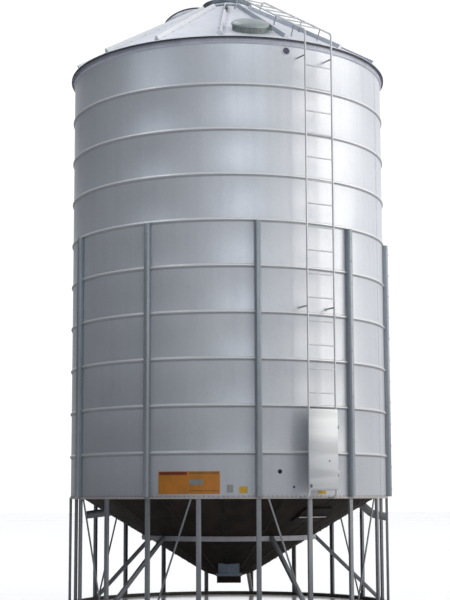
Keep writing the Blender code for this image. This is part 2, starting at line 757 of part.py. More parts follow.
def make_ladder(mat):
    across = side_dir(LADDER_AZ)
    bm = bmesh.new()
    for side in (-LADDER_HALF, LADDER_HALF):
        add_tube(bm, stile_path(side), STILE_R, STILE_SIDES, across)
    ladder = add_object("ladder", bm, mat, sharp=50)

    rungs = bmesh.new()
    for i in range(WALL_RUNGS):
        z = RUNG_FIRST_Z + i * RUNG_PITCH
        add_rod(rungs, ladder_point(-LADDER_HALF, LADDER_OUT, z),
                ladder_point(LADDER_HALF, LADDER_OUT, z), RUNG_R, RUNG_SIDES)
    for i in range(RAIL_RUNGS):
        out = LADDER_OUT - (i + 1) * RUNG_PITCH * math.cos(SLOPE)
        add_rod(rungs, ladder_point(-LADDER_HALF, out, rail_z(out)),
                ladder_point(LADDER_HALF, out, rail_z(out)), RUNG_R, RUNG_SIDES)
    boolean(ladder, add_object("ladder_rungs", rungs, mat), "UNION")

    feet = bmesh.new()
    for side in (-LADDER_HALF, LADDER_HALF):
        wall = seat_out(side, STANDOFF_R, LADDER_AZ, WALL_R)
        for z in STANDOFFS:
            add_rod(feet, ladder_point(side, LADDER_OUT, z), ladder_point(side, wall, z),
                    STANDOFF_R, RUNG_SIDES)
        for out in RAIL_POST_OUT:
            add_rod(feet, ladder_point(side, out, rail_z(out)),
                    drop_to_roof(side, out, RAIL_POST_R), RAIL_POST_R, RUNG_SIDES)
    boolean(ladder, add_object("ladder_standoffs", feet, mat), "UNION")

    lugs = bmesh.new()
    root = LADDER_HALF + STILE_R * 0.4
    edge = GUARD_HINGE_SIDE + GUARD_KNUCKLE_R
    near = GUARD_HINGE_SIDE - GUARD_KNUCKLE_R
    front = -GUARD_OUT - GUARD_KNUCKLE_R
    for z in GUARD_HINGE_Z:
        outline = [(root, 0.006 - LADDER_OUT), (edge, 0.006 - LADDER_OUT), (edge, front), (near, front),
                   (near, -0.006 - LADDER_OUT), (root, -0.006 - LADDER_OUT)]
        add_prism_up(lugs, outline, z - LUG_H - LUG_GAP, z - LUG_GAP, frame_at(LADDER_AZ, 0.0, 0.0))
    boolean(ladder, add_object("ladder_lugs", lugs, mat), "UNION")


def make_guard(mat):
    """The sheet over the ladder's lower rungs, hinged beside the right-hand stile."""
    place = Matrix.Translation((GUARD_HINGE_SIDE, -GUARD_OUT, 0))
    pivot = add_empty("ladder_guard_hinge", frame_at(LADDER_AZ, 0.0, 0.0) @ place)
    near = GUARD_HALF - GUARD_HINGE_SIDE
    bm = bmesh.new()
    add_block(bm, (near - 2 * GUARD_HALF, -GUARD_T / 2, GUARD_LOW), (near, GUARD_T / 2, GUARD_HIGH))
    guard = add_object("ladder_guard", bm, mat, parent=pivot)
    knuckles = bmesh.new()
    tabs = bmesh.new()
    for z in GUARD_HINGE_Z:
        add_rod(knuckles, Vector((0, 0, z)), Vector((0, 0, z + GUARD_KNUCKLE_H)), GUARD_KNUCKLE_R, 12)
        add_block(tabs, (near - 0.004, -0.002, z + 0.003), (-0.001, 0.002, z + GUARD_KNUCKLE_H - 0.003))
    boolean(guard, add_object("guard_knuckles", knuckles, mat, parent=pivot), "UNION")
    boolean(guard, add_object("guard_tabs", tabs, mat, parent=pivot), "UNION")


def cone_tool(name, mat):
    """The space above the hopper's outside, and a hair below it."""
    clear = GAP / math.cos(CONE)
    low_r, high_r = 0.02, 2.30
    bm = bmesh.new()
    spin_profile(bm, [
        (low_r, cone_z(low_r) - clear),
        (high_r, cone_z(high_r) - clear),
        (high_r, cone_z(high_r) + 0.30),
        (low_r, cone_z(low_r) + 0.30),
    ])
    return add_object(name, bm, mat)


def make_outlet(mat):
    """A shallow dish under the cone's mouth, round above, that ends in a square spout."""
    count = round(360.0 / STEP)
    top = cone_z(CONE_BOTTOM_R)
    outer = CONE_BOTTOM_R - GAP
    mouth = SPOUT_HALF - SPOUT_T

    def circle(radius, z):
        return [at(i * STEP, radius, z) for i in range(count)]

    def square(half, z):
        spokes = [out_dir(i * STEP) for i in range(count)]
        return [d * (half / max(abs(d.x), abs(d.y))) + Vector((0, 0, z)) for d in spokes]

    rings = [
        circle(outer, top + HOPPER_T),
        circle(outer, top),
        square(SPOUT_HALF, DISH_Z),
        square(SPOUT_HALF, SPOUT_LOW),
        square(mouth, SPOUT_LOW),
        square(mouth, DISH_Z + HOPPER_T),
    ]
    bm = bmesh.new()
    loops = [[bm.verts.new(corner) for corner in ring] for ring in rings]
    for ring, following in zip(loops, loops[1:] + loops[:1]):
        for i in range(count):
            k = (i + 1) % count
            bm.faces.new((ring[i], ring[k], following[k], following[i]))
    bmesh.ops.dissolve_limit(bm, angle_limit=math.radians(0.5), verts=bm.verts, edges=bm.edges)
    add_object("outlet_spout", bm, mat, sharp=30)


def make_clean_out(mat):
    """The box on the front of the cone, just above the outlet, with the lip below it."""
    bm = bmesh.new()
    add_block(bm, (-DOOR_HALF, -DOOR_FRONT, DOOR_LOW), (DOOR_HALF, -DOOR_BACK, DOOR_TOP))
    door = add_object("clean_out_box", bm, mat)
    lip = bmesh.new()
    add_block(lip, (-DOOR_LIP_HALF, -DOOR_FRONT - DOOR_LIP_OUT, DOOR_LOW - DOOR_LIP_T),
              (DOOR_LIP_HALF, -DOOR_BACK + 0.001, DOOR_LOW + 0.001))
    boolean(door, add_object("clean_out_lip", lip, mat), "UNION")
    boolean(door, cone_tool("clean_out_cut", mat), "DIFFERENCE")


def make_manhole(mat):
    """A cover plate on the cone with a bar across it."""
    frame = frame_at(MANHOLE_AZ, MANHOLE_R, cone_z(MANHOLE_R)) @ Matrix.Rotation(-CONE, 4, "X")
    bm = bmesh.new()
    add_block(bm, (-MANHOLE_HALF, -MANHOLE_HALF_UP, -MANHOLE_PROUD),
              (MANHOLE_HALF, MANHOLE_HALF_UP, 0.05), frame)
    plate = add_object("cone_manhole", bm, mat)
    bar = bmesh.new()
    add_block(bar, (-MANHOLE_HALF - 0.010, -MANHOLE_BAR / 2, -MANHOLE_PROUD - MANHOLE_BAR),
              (MANHOLE_HALF + 0.010, MANHOLE_BAR / 2, -MANHOLE_PROUD + 0.002), frame)
    boolean(plate, add_object("manhole_bar", bar, mat), "UNION")
    boolean(plate, cone_tool("manhole_cut", mat), "DIFFERENCE")


def make_pipes(mat):
    """The two stub pipes low on the cone: a straight one at the left, an elbow at the right."""
    cut = cone_tool("pipe_cut", mat)
    across = Vector((0, 1, 0))
    left = bmesh.new()
    add_tube(left, [Vector((-1.620, 0.0, SKIRT_Z - 0.155)), Vector((-2.005, 0.0, SKIRT_Z - 0.202))],
             PIPE_R, PIPE_SIDES, across)
    boolean(add_object("aeration_pipe_left", left, mat, sharp=40), cut, "DIFFERENCE")
    right = bmesh.new()
    corners = [Vector((1.780, 0.0, SKIRT_Z + 0.020)), Vector((2.030, 0.0, SKIRT_Z - 0.200)),
               Vector((2.245, 0.0, SKIRT_Z - 0.243))]
    add_tube(right, rounded_path(corners, 0.20, 5), PIPE_R, PIPE_SIDES, across)
    boolean(add_object("aeration_pipe_right", right, mat, sharp=40), cut, "DIFFERENCE")


def main():
    clear_scene()
    wall = material("galvanised_wall", (0.62, 0.66, 0.72), 0.42, 0.55)
    roof = material("galvanised_roof", (0.74, 0.76, 0.82), 0.42, 0.45)
    cone = material("cone_steel", (0.30, 0.29, 0.28), 0.60, 0.50)
    frame = material("frame_steel", (0.42, 0.45, 0.48), 0.50, 0.60)
    band = material("ring_steel", (0.66, 0.63, 0.62), 0.50, 0.40)
    lid = material("lid_steel", (0.60, 0.63, 0.66), 0.40, 0.50)
    ladder = material("ladder_steel", (0.66, 0.68, 0.70), 0.42, 0.60)
    guard = material("guard_sheet", (0.72, 0.73, 0.74), 0.50, 0.45)
    make_walls(wall)
    make_roof(roof, hatch_tool(roof))
    make_hopper(cone)
    make_rings(band)
    make_stiffeners(frame)
    make_legs(frame)
    make_neck(lid)
    make_lid(lid)
    make_hatch(lid)
    make_ladder(ladder)
    make_guard(guard)
    make_outlet(cone)
    make_clean_out(frame)
    make_manhole(cone)
    make_pipes(frame)


main()
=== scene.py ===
"""Looks of the elevated, cone-bottomed grain silo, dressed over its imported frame.

Metres, +Z up, the silo's axis on X = Y = 0. Azimuths are in degrees, 0 towards -Y and growing towards +X.
"""
import math

import bpy
from mathutils import Matrix, Vector


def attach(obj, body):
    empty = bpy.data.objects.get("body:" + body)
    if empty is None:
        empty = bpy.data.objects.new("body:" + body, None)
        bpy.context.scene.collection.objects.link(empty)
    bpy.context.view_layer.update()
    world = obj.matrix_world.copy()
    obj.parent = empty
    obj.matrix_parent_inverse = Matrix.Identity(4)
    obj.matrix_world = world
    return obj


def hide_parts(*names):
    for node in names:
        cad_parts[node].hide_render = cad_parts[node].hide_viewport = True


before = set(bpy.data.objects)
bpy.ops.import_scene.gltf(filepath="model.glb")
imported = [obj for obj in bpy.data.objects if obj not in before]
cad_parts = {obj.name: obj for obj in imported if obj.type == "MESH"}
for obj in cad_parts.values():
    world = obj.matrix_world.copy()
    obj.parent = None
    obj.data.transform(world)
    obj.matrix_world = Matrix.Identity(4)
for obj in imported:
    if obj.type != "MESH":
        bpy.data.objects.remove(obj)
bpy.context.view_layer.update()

bpy.ops.object.select_all(action="DESELECT")

GAP = 0.0003
MERGE = 0.00005
HAIR = 0.005
FULL_TURN = 360.0

# The shell
SKIRT_Z = 1.46
WALL_R = 2.223
WALL_T = 0.012
RINGS = 10
RING_H = 0.60
BEAD_OUT = 0.018
BEAD_HALF = 0.028
WALL_SECTORS = 5
WALL_SEAM = 9.0
LAP_AZIMUTHS = (69.3, 129.3, 189.3, 249.3)
LAP_HALF = 0.9

# The roof
SLOPE = math.radians(30.0)
EAVE_R = 2.275
EAVE_Z = SKIRT_Z + 6.036
EAVE_LIP = 0.026
ROOF_T = 0.012
ROOF_SECTORS = 4
ROOF_SEAM = -13.5
RIBS = 16
RIB_AZ = -2.25
RIB_TOP_W = 0.03
RIB_FOOT_W = 0.07
RIB_H = 0.055
RIB_FROM = 0.46
RIB_TO = 2.235

# The hopper
CONE = math.radians(30.9)
CONE_R_AT_SKIRT = 2.007
CONE_BOTTOM_R = 0.32
HOPPER_T = 0.014
HOPPER_SECTORS = 4
MANHOLE_AZ = 40.0
MANHOLE_R = 1.70

# Rings
EAVE_RING_OUT = 2.243
EAVE_RING_LOW = SKIRT_Z + 5.945
BAND_OUT = 2.245
BAND_IN = 2.165
WALL_LOW = SKIRT_Z + 0.031
BAND_LOW = SKIRT_Z + 0.019
BAND_HIGH = SKIRT_Z + 0.044
BAND_RIVETS = 222
MID_RING_R = 1.225
MID_RING_HIGH = SKIRT_Z - 0.476
MID_RING_H = 0.067
MID_RING_T = 0.010
MID_RING_RIVETS = 48
BASE_H = 0.045
BASE_IN = 2.180
BASE_OUT = 2.250

# Legs, stiffeners, braces and struts
FRONT_LEG_AZ = 9.8
LEG_PITCH = 17.9
LEGS_A_SIDE = 10
STIFFENED = [("right", k) for k in range(0, LEGS_A_SIDE, 2)] + [("left", k) for k in range(1, LEGS_A_SIDE, 2)]
LEG_W = 0.060
LEG_D = 0.036
LEG_R = 2.2240
STIFFENER_TOP = SKIRT_Z + 3.585
STIFFENER_W = 0.080
STIFFENER_FACE_W = 0.046
STIFFENER_D = 0.058
BRACE_W = 0.022
BRACE_T = 0.016
BRACE_SIDE = 0.100
BRACE_OVER = 0.028
BRACE_FOOT_H = 0.095
FOOT_PLATE_T = 0.010
BRACES = {1: 0, 2: 3, 6: 7}
STRUTS = {"right": (1, 5, 9), "left": (2, 6)}
STRUT_W = 0.050
STRUT_TOP_Z = SKIRT_Z - 0.4914
STRUT_FOOT_R = 2.190

# The neck at the top and its lid
NECK_R = 0.350
NECK_T = 0.008
NECK_Z = SKIRT_Z + 7.186
NECK_BAND_R = 0.370
NECK_BAND_H = 0.056
NECK_FLANGE_R = 0.405
NECK_FLANGE_T = 0.008
LID_AZ = -136.6
LID_R = 0.405
LID_T = 0.008
LID_SKIRT_H = 0.085
LID_CROWN_H = 0.070
LID_HINGE_R = 0.427
LID_HINGE_Z = SKIRT_Z + 7.292
LID_DROP = 0.062
LID_OPEN = 200.0
KNUCKLE_R = 0.010
KNUCKLE_HALF = 0.0642
EAR_TO = 0.080
EARS = ((-EAR_TO, -0.065), (0.065, EAR_TO))
TAB_HALF = 0.052
NECK_CLAMP_AZ = (-52, -18, 16, 50, 84, 118, 152)

# The inspection hatch
HATCH_AZ = 8.85
HATCH_R = 1.955
HATCH_TILT = math.radians(27.0)
HATCH_NECK_R = 0.240
HATCH_NECK_T = 0.008
HATCH_NECK_H = 0.079
HATCH_NECK_DEPTH = 0.100
HATCH_LID_R = 0.256
HATCH_LID_T = 0.006
HATCH_LID_LOW = 0.062
HATCH_LID_RIM_H = 0.026
HATCH_LID_CROWN_H = 0.062
HATCH_HINGE_OUT = 0.280
HATCH_HINGE_H = 0.075
HATCH_EAR_ROOT = -0.2233
HATCH_EAR_LOW = 0.015
HATCH_CLAMP_AZ = (20, 62, 104, 146, 188, -25, -48, -150)

# The ladder
LADDER_AZ = 29.8
LADDER_HALF = 0.2055
LADDER_OUT = 2.411
STILE_R = 0.0125
RUNG_R = 0.009
RUNG_PITCH = 0.3073
RUNG_FIRST_Z = SKIRT_Z + 0.131
WALL_RUNGS = 19
RAIL_CORNER_Z = SKIRT_Z + 6.140
RAIL_END_OUT = 0.660
RAIL_RUNGS = 6
LADDER_BEND = 0.090
FOOT_Z = SKIRT_Z + 0.0315
STANDOFFS = (SKIRT_Z + 2.475, SKIRT_Z + 5.800)
STANDOFF_R = 0.010
RAIL_POST_OUT = (2.152, 1.700)
RAIL_POST_R = 0.008

# The sheet that closes the ladder's lower end
GUARD_HALF = 0.222
GUARD_LOW = SKIRT_Z + 0.134
GUARD_HIGH = SKIRT_Z + 1.154
GUARD_T = 0.006
GUARD_OUT = 2.4320
GUARD_HINGE_SIDE = 0.238
GUARD_HINGE_Z = (SKIRT_Z + 0.33, SKIRT_Z + 0.94)
GUARD_KNUCKLE_H = 0.040
GUARD_KNUCKLE_R = 0.007
LUG_H = 0.030
LUG_GAP = 0.0008

# Ports on the wall
VENT_AZ = 20.4
VENT_Z = SKIRT_Z + 5.883
SAMPLE_PORT_AZ = 17.06
SAMPLE_PORT_Z = SKIRT_Z + 0.362
EARTH_BOLT_AZ = 21.95
EARTH_BOLT_Z = SKIRT_Z + 0.167


# Places

def out_dir(azimuth):
    a = math.radians(azimuth)
    return Vector((math.sin(a), -math.cos(a), 0.0))


def side_dir(azimuth):
    a = math.radians(azimuth)
    return Vector((math.cos(a), math.sin(a), 0.0))


def at(azimuth, radius, z):
    return out_dir(azimuth) * radius + Vector((0.0, 0.0, z))


def frame_at(azimuth, radius=0.0, z=0.0):
    """A frame at a point of the shell: x across, y towards the axis, z up."""
    return Matrix.Rotation(math.radians(azimuth), 4, "Z") @ Matrix.Translation((0, -radius, z))


def turn_about(degrees, axis):
    return Matrix.Rotation(math.radians(degrees), 4, axis)


def leg_azimuth(side, k):
    return (1 if side == "right" else -1) * (FRONT_LEG_AZ + k * LEG_PITCH)


def rib_azimuth(i):
    return RIB_AZ + i * FULL_TURN / RIBS


def roof_z(radius):
    return EAVE_Z + (EAVE_R - radius) * math.tan(SLOPE)


def cone_z(radius):
    return SKIRT_Z - (CONE_R_AT_SKIRT - radius) * math.tan(CONE)


def cone_r(z):
    return CONE_R_AT_SKIRT - (SKIRT_Z - z) / math.tan(CONE)


def roof_frame(azimuth, radius):
    """A frame on the roof: x across, y uphill, z out of the sheet."""
    return frame_at(azimuth, radius, roof_z(radius)) @ Matrix.Rotation(SLOPE, 4, "X")


def cone_frame(azimuth, radius):
    """A frame on the cone's outside: x across, y down towards the outlet, z into the grain."""
    return frame_at(azimuth, radius, cone_z(radius)) @ Matrix.Rotation(-CONE, 4, "X")


def ladder_point(side, out, z):
    return side_dir(LADDER_AZ) * side + out_dir(LADDER_AZ) * out + Vector((0, 0, z))


def rail_z(out):
    return RAIL_CORNER_Z + (LADDER_OUT - out) * math.tan(SLOPE)


# Shaping

def pick(*parts):
    """Select these parts alone; the first one is active."""
    bpy.ops.object.select_all(action="DESELECT")
    for part in parts:
        part.select_set(True)
    bpy.context.view_layer.objects.active = parts[0]


def edit(faces=False):
    """Enter edit mode on the active object, picking vertices or faces."""
    bpy.context.tool_settings.mesh_select_mode = (not faces, False, faces)
    bpy.ops.object.mode_set(mode="EDIT")


def done():
    bpy.ops.object.mode_set(mode="OBJECT")
    return bpy.context.object


def settle(matrix=None):
    """Put the active object's place into its mesh, after an optional move."""
    piece = bpy.context.object
    if matrix is not None:
        piece.matrix_world = matrix @ piece.matrix_world
    pick(piece)
    bpy.ops.object.transform_apply(location=True, rotation=True, scale=True)
    return piece


def draw(points):
    """Draw a line through points, from one vertex on, and stay in edit mode."""
    points = [Vector(point) for point in points]
    bpy.ops.mesh.primitive_plane_add(size=0.01, location=points[0])
    edit()
    bpy.ops.mesh.merge(type="CENTER")
    for here, there in zip(points, points[1:]):
        bpy.ops.mesh.extrude_vertices_move(TRANSFORM_OT_translate={"value": there - here})
    bpy.ops.mesh.select_all(action="SELECT")


def tidy_shell(merge=2 * MERGE):
    """In edit mode, merge doubled points and turn every face outwards."""
    bpy.ops.mesh.select_all(action="SELECT")
    bpy.ops.mesh.remove_doubles(threshold=merge)
    bpy.ops.mesh.normals_make_consistent(inside=False)


def turned(profile, start=0.0, turn=FULL_TURN, steps=240, matrix=None):
    """Spin a closed profile of (radius, height) points about the Z axis."""
    on_axis = profile[0][0] == 0.0 and profile[-1][0] == 0.0
    closed = profile if on_axis else profile + profile[:1]
    draw([at(start, r, z) for r, z in closed])
    bpy.ops.mesh.spin(steps=steps, angle=-math.radians(turn), center=(0, 0, 0), axis=(0, 0, 1))
    bpy.ops.mesh.select_all(action="SELECT")
    bpy.ops.mesh.remove_doubles(threshold=2 * MERGE)
    if turn < FULL_TURN:
        bpy.ops.mesh.fill_holes(sides=0)
    tidy_shell()
    done()
    return settle(matrix)


def dome(radius, foot, height, power, steps):
    """A dome's profile from its crown down to its foot."""
    angles = [math.pi / 2 * i / steps for i in range(steps + 1)]
    return [(radius * math.sin(angle), foot + height * math.cos(angle) ** power) for angle in angles]


def prism(outline, vec, matrix=None, bevel=0.0):
    """Fill a flat outline, extrude it by a vector and round its edges."""
    draw(list(outline) + [outline[0]])
    bpy.ops.mesh.remove_doubles(threshold=MERGE)
    bpy.ops.mesh.edge_face_add()
    bpy.ops.mesh.extrude_region_move(TRANSFORM_OT_translate={"value": vec})
    tidy_shell(MERGE)
    if bevel:
        bpy.ops.mesh.bevel(offset=bevel, segments=2, affect="EDGES")
    done()
    return settle(matrix)


def plate(low, high, matrix=None, bevel=0.0015):
    """A rounded block between two corners."""
    low, high = Vector(low), Vector(high)
    bpy.ops.mesh.primitive_cube_add(size=1.0, location=(low + high) / 2, scale=high - low)
    settle()
    edit()
    bpy.ops.mesh.select_all(action="SELECT")
    bpy.ops.mesh.bevel(offset=bevel, segments=2, affect="EDGES")
    done()
    return settle(matrix)


def along(start, end):
    """A frame at a start point with z towards an end point."""
    return Matrix.Translation(start) @ (end - start).to_track_quat("Z", "Y").to_matrix().to_4x4()


def rod(start, end, radius, sides=12):
    """A round bar between two points, with rounded ends."""
    start, end = Vector(start), Vector(end)
    length = (end - start).length
    bpy.ops.mesh.primitive_cylinder_add(vertices=sides, radius=radius, depth=length, location=(0, 0, length / 2))
    settle()
    edit()
    select_caps()
    bpy.ops.mesh.bevel(offset=radius * 0.2, segments=2, affect="EDGES")
    done()
    return settle(along(start, end))


def select_faces(test):
    """In edit mode, select the faces whose centre and normal pass a test."""
    done()
    mesh = bpy.context.object.data
    for part in (mesh.vertices, mesh.edges, mesh.polygons):
        part.foreach_set("select", [False] * len(part))
    for face in mesh.polygons:
        face.select = test(face.center, face.normal)
    edit(faces=True)


def select_caps():
    """In edit mode, select the rims of a round bar's ends."""
    select_faces(lambda centre, normal: abs(normal.z) > 0.9)


def tube(points, radius, sides):
    """A round bar along a line of points."""
    draw(points)
    done()
    bpy.ops.object.convert(target="CURVE")
    curve = bpy.context.object.data
    curve.bevel_depth = radius
    curve.bevel_resolution = max(0, sides // 4 - 1)
    curve.use_fill_caps = True
    bpy.ops.object.convert(target="MESH")
    edit()
    tidy_shell()
    done()
    return settle()


def rounded_path(points, bend, steps=8):
    """Replace each inner corner of a plane path by a short arc."""
    path = [points[0]]
    for before, corner, after in zip(points, points[1:], points[2:]):
        a = (before - corner).normalized()
        b = (after - corner).normalized()
        half = a.angle(b) / 2
        reach = bend / math.tan(half)
        centre = corner + (a + b).normalized() * (bend / math.sin(half))
        first = (corner + a * reach - centre).normalized()
        last = (corner + b * reach - centre).normalized()
        for i in range(steps + 1):
            path.append(centre + first.slerp(last, i / steps).normalized() * bend)
    path.append(points[-1])
    return path


def copies(piece, places):
    """A copy of a piece at each place, each with its own mesh; the piece itself is removed."""
    made = []
    for place in places:
        twin = piece.copy()
        twin.data = piece.data.copy()
        twin.data.transform(place)
        bpy.context.scene.collection.objects.link(twin)
        made.append(twin)
    bpy.data.objects.remove(piece)
    return made


def sectors(piece, count):
    """Copies of a piece round the silo's axis."""
    return copies(piece, [turn_about(FULL_TURN / count * i, "Z") for i in range(count)])


def joined(parts):
    """Join parts into one piece."""
    pick(*parts)
    if len(parts) > 1:
        bpy.ops.object.join()
    return bpy.context.object


def cut(piece, tool):
    """Take a tool's space out of a piece."""
    pick(piece)
    mod = piece.modifiers.new("cut", "BOOLEAN")
    mod.operation = "DIFFERENCE"
    mod.solver = "EXACT"
    mod.object = tool
    bpy.ops.object.modifier_apply(modifier="cut")
    bpy.data.objects.remove(tool)


def eased(node, width):
    """A copy of a CAD solid with its loose faces merged and its edges rounded."""
    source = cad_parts[node]
    piece = source.copy()
    piece.data = source.data.copy()
    piece.parent = None
    for key in list(piece.keys()):
        del piece[key]
    bpy.context.scene.collection.objects.link(piece)
    pick(piece)
    edit()
    bpy.ops.mesh.select_all(action="SELECT")
    bpy.ops.mesh.remove_doubles(threshold=MERGE)
    bpy.ops.mesh.dissolve_limited(angle_limit=math.radians(0.6))
    bpy.ops.mesh.normals_make_consistent(inside=False)
    done()
    if width:
        mod = piece.modifiers.new("edges", "BEVEL")
        mod.width = width
        mod.segments = 2
        mod.limit_method = "ANGLE"
        mod.angle_limit = math.radians(25.0)
        bpy.ops.object.modifier_apply(modifier="edges")
    return piece


def finish_piece(piece, name, slot, finish, *nodes, body="silo", smooth=32.0):
    """Name a piece, give it its finish, and fix it to its body."""
    piece.name = name
    piece.data.name = name
    piece.data.materials.clear()
    piece.data.materials.append(finish)
    pick(piece)
    bpy.ops.object.shade_smooth_by_angle(angle=math.radians(smooth))
    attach(piece, body)
    if nodes:
        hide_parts(*nodes)


# Finishes

class Number:
    """A number socket in a material, so that shader sums read as plain expressions."""

    def __init__(self, finish, socket):
        self.finish = finish
        self.socket = socket

    def sum(self, operation, *terms):
        return self.finish.node("ShaderNodeMath", {"operation": operation}, {i: t for i, t in enumerate(terms)})

    def __add__(self, other):
        return self.sum("ADD", self, other)

    def __sub__(self, other):
        return self.sum("SUBTRACT", self, other)

    def __mul__(self, other):
        return self.sum("MULTIPLY", self, other)

    def fit(self, low, high, to_low=0.0, to_high=1.0):
        """Spread the range low...high over to_low...to_high, smoothly and clamped."""
        settings = {"interpolation_type": "SMOOTHSTEP"}
        values = {"Value": self, "From Min": low, "From Max": high, "To Min": to_low, "To Max": to_high}
        return self.finish.node("ShaderNodeMapRange", settings, values)


class Finish:
    """A material with a principled shader, built node by node."""

    def __init__(self, name, **constants):
        self.material = bpy.data.materials.new(name)
        self.material.use_nodes = True
        self.tree = self.material.node_tree
        self.shader = self.tree.nodes["Principled BSDF"]
        for key, value in constants.items():
            self.shader.inputs[key.replace("_", " ").title().replace("Ior", "IOR")].default_value = value
        self.object = self.node("ShaderNodeTexCoord", {}, {}, "Object")

    def node(self, kind, settings, values, output=0):
        made = self.tree.nodes.new(kind)
        for key, value in settings.items():
            setattr(made, key, value)
        for key, value in values.items():
            if isinstance(value, Number):
                self.tree.links.new(value.socket, made.inputs[key])
            else:
                made.inputs[key].default_value = value
        return Number(self, made.outputs[output])

    def place(self, stretch=(1, 1, 1)):
        return self.node("ShaderNodeMapping", {}, {"Vector": self.object, "Scale": stretch})

    def noise(self, scale, detail=3.0, stretch=(1, 1, 1), rough=0.5):
        values = {"Vector": self.place(stretch), "Scale": scale, "Detail": detail, "Roughness": rough}
        return self.node("ShaderNodeTexNoise", {}, values)

    def cells(self, scale):
        """Voronoi cells: a grey value that differs from cell to cell."""
        made = self.node("ShaderNodeTexVoronoi", {}, {"Vector": self.place(), "Scale": scale}, "Color")
        return self.node("ShaderNodeSeparateColor", {}, {"Color": made}, "Red")

    def height(self):
        return self.node("ShaderNodeSeparateXYZ", {}, {"Vector": self.object}, "Z")

    def mix(self, factor, first, second):
        """Mix two colours, given as web codes, as linear light or as sockets."""
        made = self.tree.nodes.new("ShaderNodeMix")
        made.data_type = "RGBA"
        made.clamp_factor = True
        for key, value in ((0, factor), (6, first), (7, second)):
            if isinstance(value, Number):
                self.tree.links.new(value.socket, made.inputs[key])
            else:
                made.inputs[key].default_value = tone(value) if isinstance(value, str) else value
        return Number(self, made.outputs[2])

    def bump(self, height, strength, distance, under=None):
        values = {"Height": height, "Strength": strength, "Distance": distance}
        if under is not None:
            values["Normal"] = under
        return self.node("ShaderNodeBump", {}, values)

    def feed(self, **links):
        for key, value in links.items():
            self.tree.links.new(value.socket, self.shader.inputs[key.replace("_", " ").title()])
        return self.material


RUST = "4a3326"


def tone(code):
    """A colour from its six-figure web code, as linear light."""
    parts = [int(code[i:i + 2], 16) / 255 for i in (0, 2, 4)]
    return (*[p / 12.92 if p <= 0.04045 else ((p + 0.055) / 1.055) ** 2.4 for p in parts], 1.0)


def galvanised(name, light, dark, metallic=0.5, roughness=0.42, grime=0.25, spangle=45.0, bump=0.12, shine=0.5):
    """Zinc-coated sheet: faint spangle, rain streaks, soft clouds and a few dull patches."""
    f = Finish(name, metallic=metallic, roughness=roughness, specular_ior_level=shine)
    clouds = f.noise(1.3, 4.0)
    streaks = f.noise(9.0, 3.0, (1.0, 1.0, 0.05), 0.6)
    cells = f.cells(spangle)
    blend = clouds * 0.52 + streaks * 0.42 + cells * 0.06
    sheet = f.mix(blend.fit(0.32, 0.68), light, dark)
    dull = f.noise(2.6, 6.0, (1.0, 1.0, 0.35), 0.65).fit(0.56, 0.72, 0.0, grime)
    stain = [channel * 0.62 for channel in tone(dark)[:3]] + [1.0]
    colour = f.mix(dull, sheet, stain)
    rough = (cells - 0.5) * 0.05 + (streaks - 0.5) * 0.12 + dull * 0.35 + roughness
    dents = f.bump(f.noise(2.2, 2.0, (1.0, 1.0, 0.6)), bump, 0.02)
    grain = f.bump(cells, 0.05, 0.001, dents)
    return f.feed(base_color=colour, roughness=rough, normal=grain)


def wall_finish(name, light, dark):
    """The wall's zinc sheet: a painted highlight on top of each bead, painted shade under it, painted shade deepening
    towards the ground, and splashes of dirt.
    """
    f = Finish(name, metallic=0.42, roughness=0.42)
    clouds = f.noise(0.9, 4.0, (1.0, 1.0, 0.7))
    streaks = f.noise(7.0, 3.0, (1.0, 1.0, 0.04), 0.6)
    cells = f.cells(55.0)
    sheet = f.mix((clouds * 0.5 + streaks * 0.38 + cells * 0.12).fit(0.34, 0.66), light, dark)
    ring = f.node("ShaderNodeMath", {"operation": "WRAP"}, {0: f.height(), 1: SKIRT_Z + 0.3, 2: SKIRT_Z - 0.3})
    above = ring - SKIRT_Z
    # Painted shade under each bead and a painted highlight on its crest
    under = above.fit(-0.040, -0.026) * above.fit(-0.010, -0.002, 1.0, 0.0)
    crest = above.fit(-0.006, 0.004) * above.fit(0.022, 0.034, 1.0, 0.0)
    shaded_under_beads = f.mix(under * 0.50, sheet, "62666b")
    lit_bead_tops = f.mix(crest * 0.60, shaded_under_beads, "e8e9ea")
    # Painted shade, darker towards the ground; the splashes mixed in with it are real dirt
    low = f.height().fit(SKIRT_Z - 1.5, SKIRT_Z + 4.5, 0.49, 0.0)
    splash = f.noise(3.0, 6.0, (1.0, 1.0, 0.5), 0.65).fit(0.54, 0.74, 0.0, 0.08)
    splash_and_low_shade = f.mix(low + splash, lit_bead_tops, "6e7278")
    rough = (cells - 0.5) * 0.04 + (streaks - 0.5) * 0.06 + splash * 0.4 + under * 0.15 + 0.42
    dents = f.bump(f.noise(2.0, 2.0, (1.0, 1.0, 0.6)), 0.05, 0.02)
    grain = f.bump(cells, 0.04, 0.001, dents)
    return f.feed(base_color=splash_and_low_shade, roughness=rough, normal=grain)


def weathered(name, light, dark, metallic=0.3, roughness=0.6, scale=5.0, rust=0.0, shine=0.5):
    """Structural steel: mottled coat, fine grit, and rust in patches where it is asked for."""
    f = Finish(name, metallic=metallic, roughness=roughness, specular_ior_level=shine)
    clouds = f.noise(scale, 6.0, (1, 1, 0.6), 0.6)
    grit = f.noise(160.0, 3.0)
    coat = f.mix((clouds * 0.75 + grit * 0.25).fit(0.36, 0.64), light, dark)
    patch = f.noise(3.1, 8.0, (1, 1, 0.5), 0.7).fit(0.58, 0.66, 0.0, rust)
    colour = f.mix(patch, coat, RUST)
    rough = (grit - 0.5) * 0.15 + (clouds - 0.5) * 0.15 + patch * 0.2 + roughness
    skin = f.bump(grit, 0.15, 0.0008, f.bump(clouds, 0.10, 0.004))
    return f.feed(base_color=colour, roughness=rough, normal=skin)


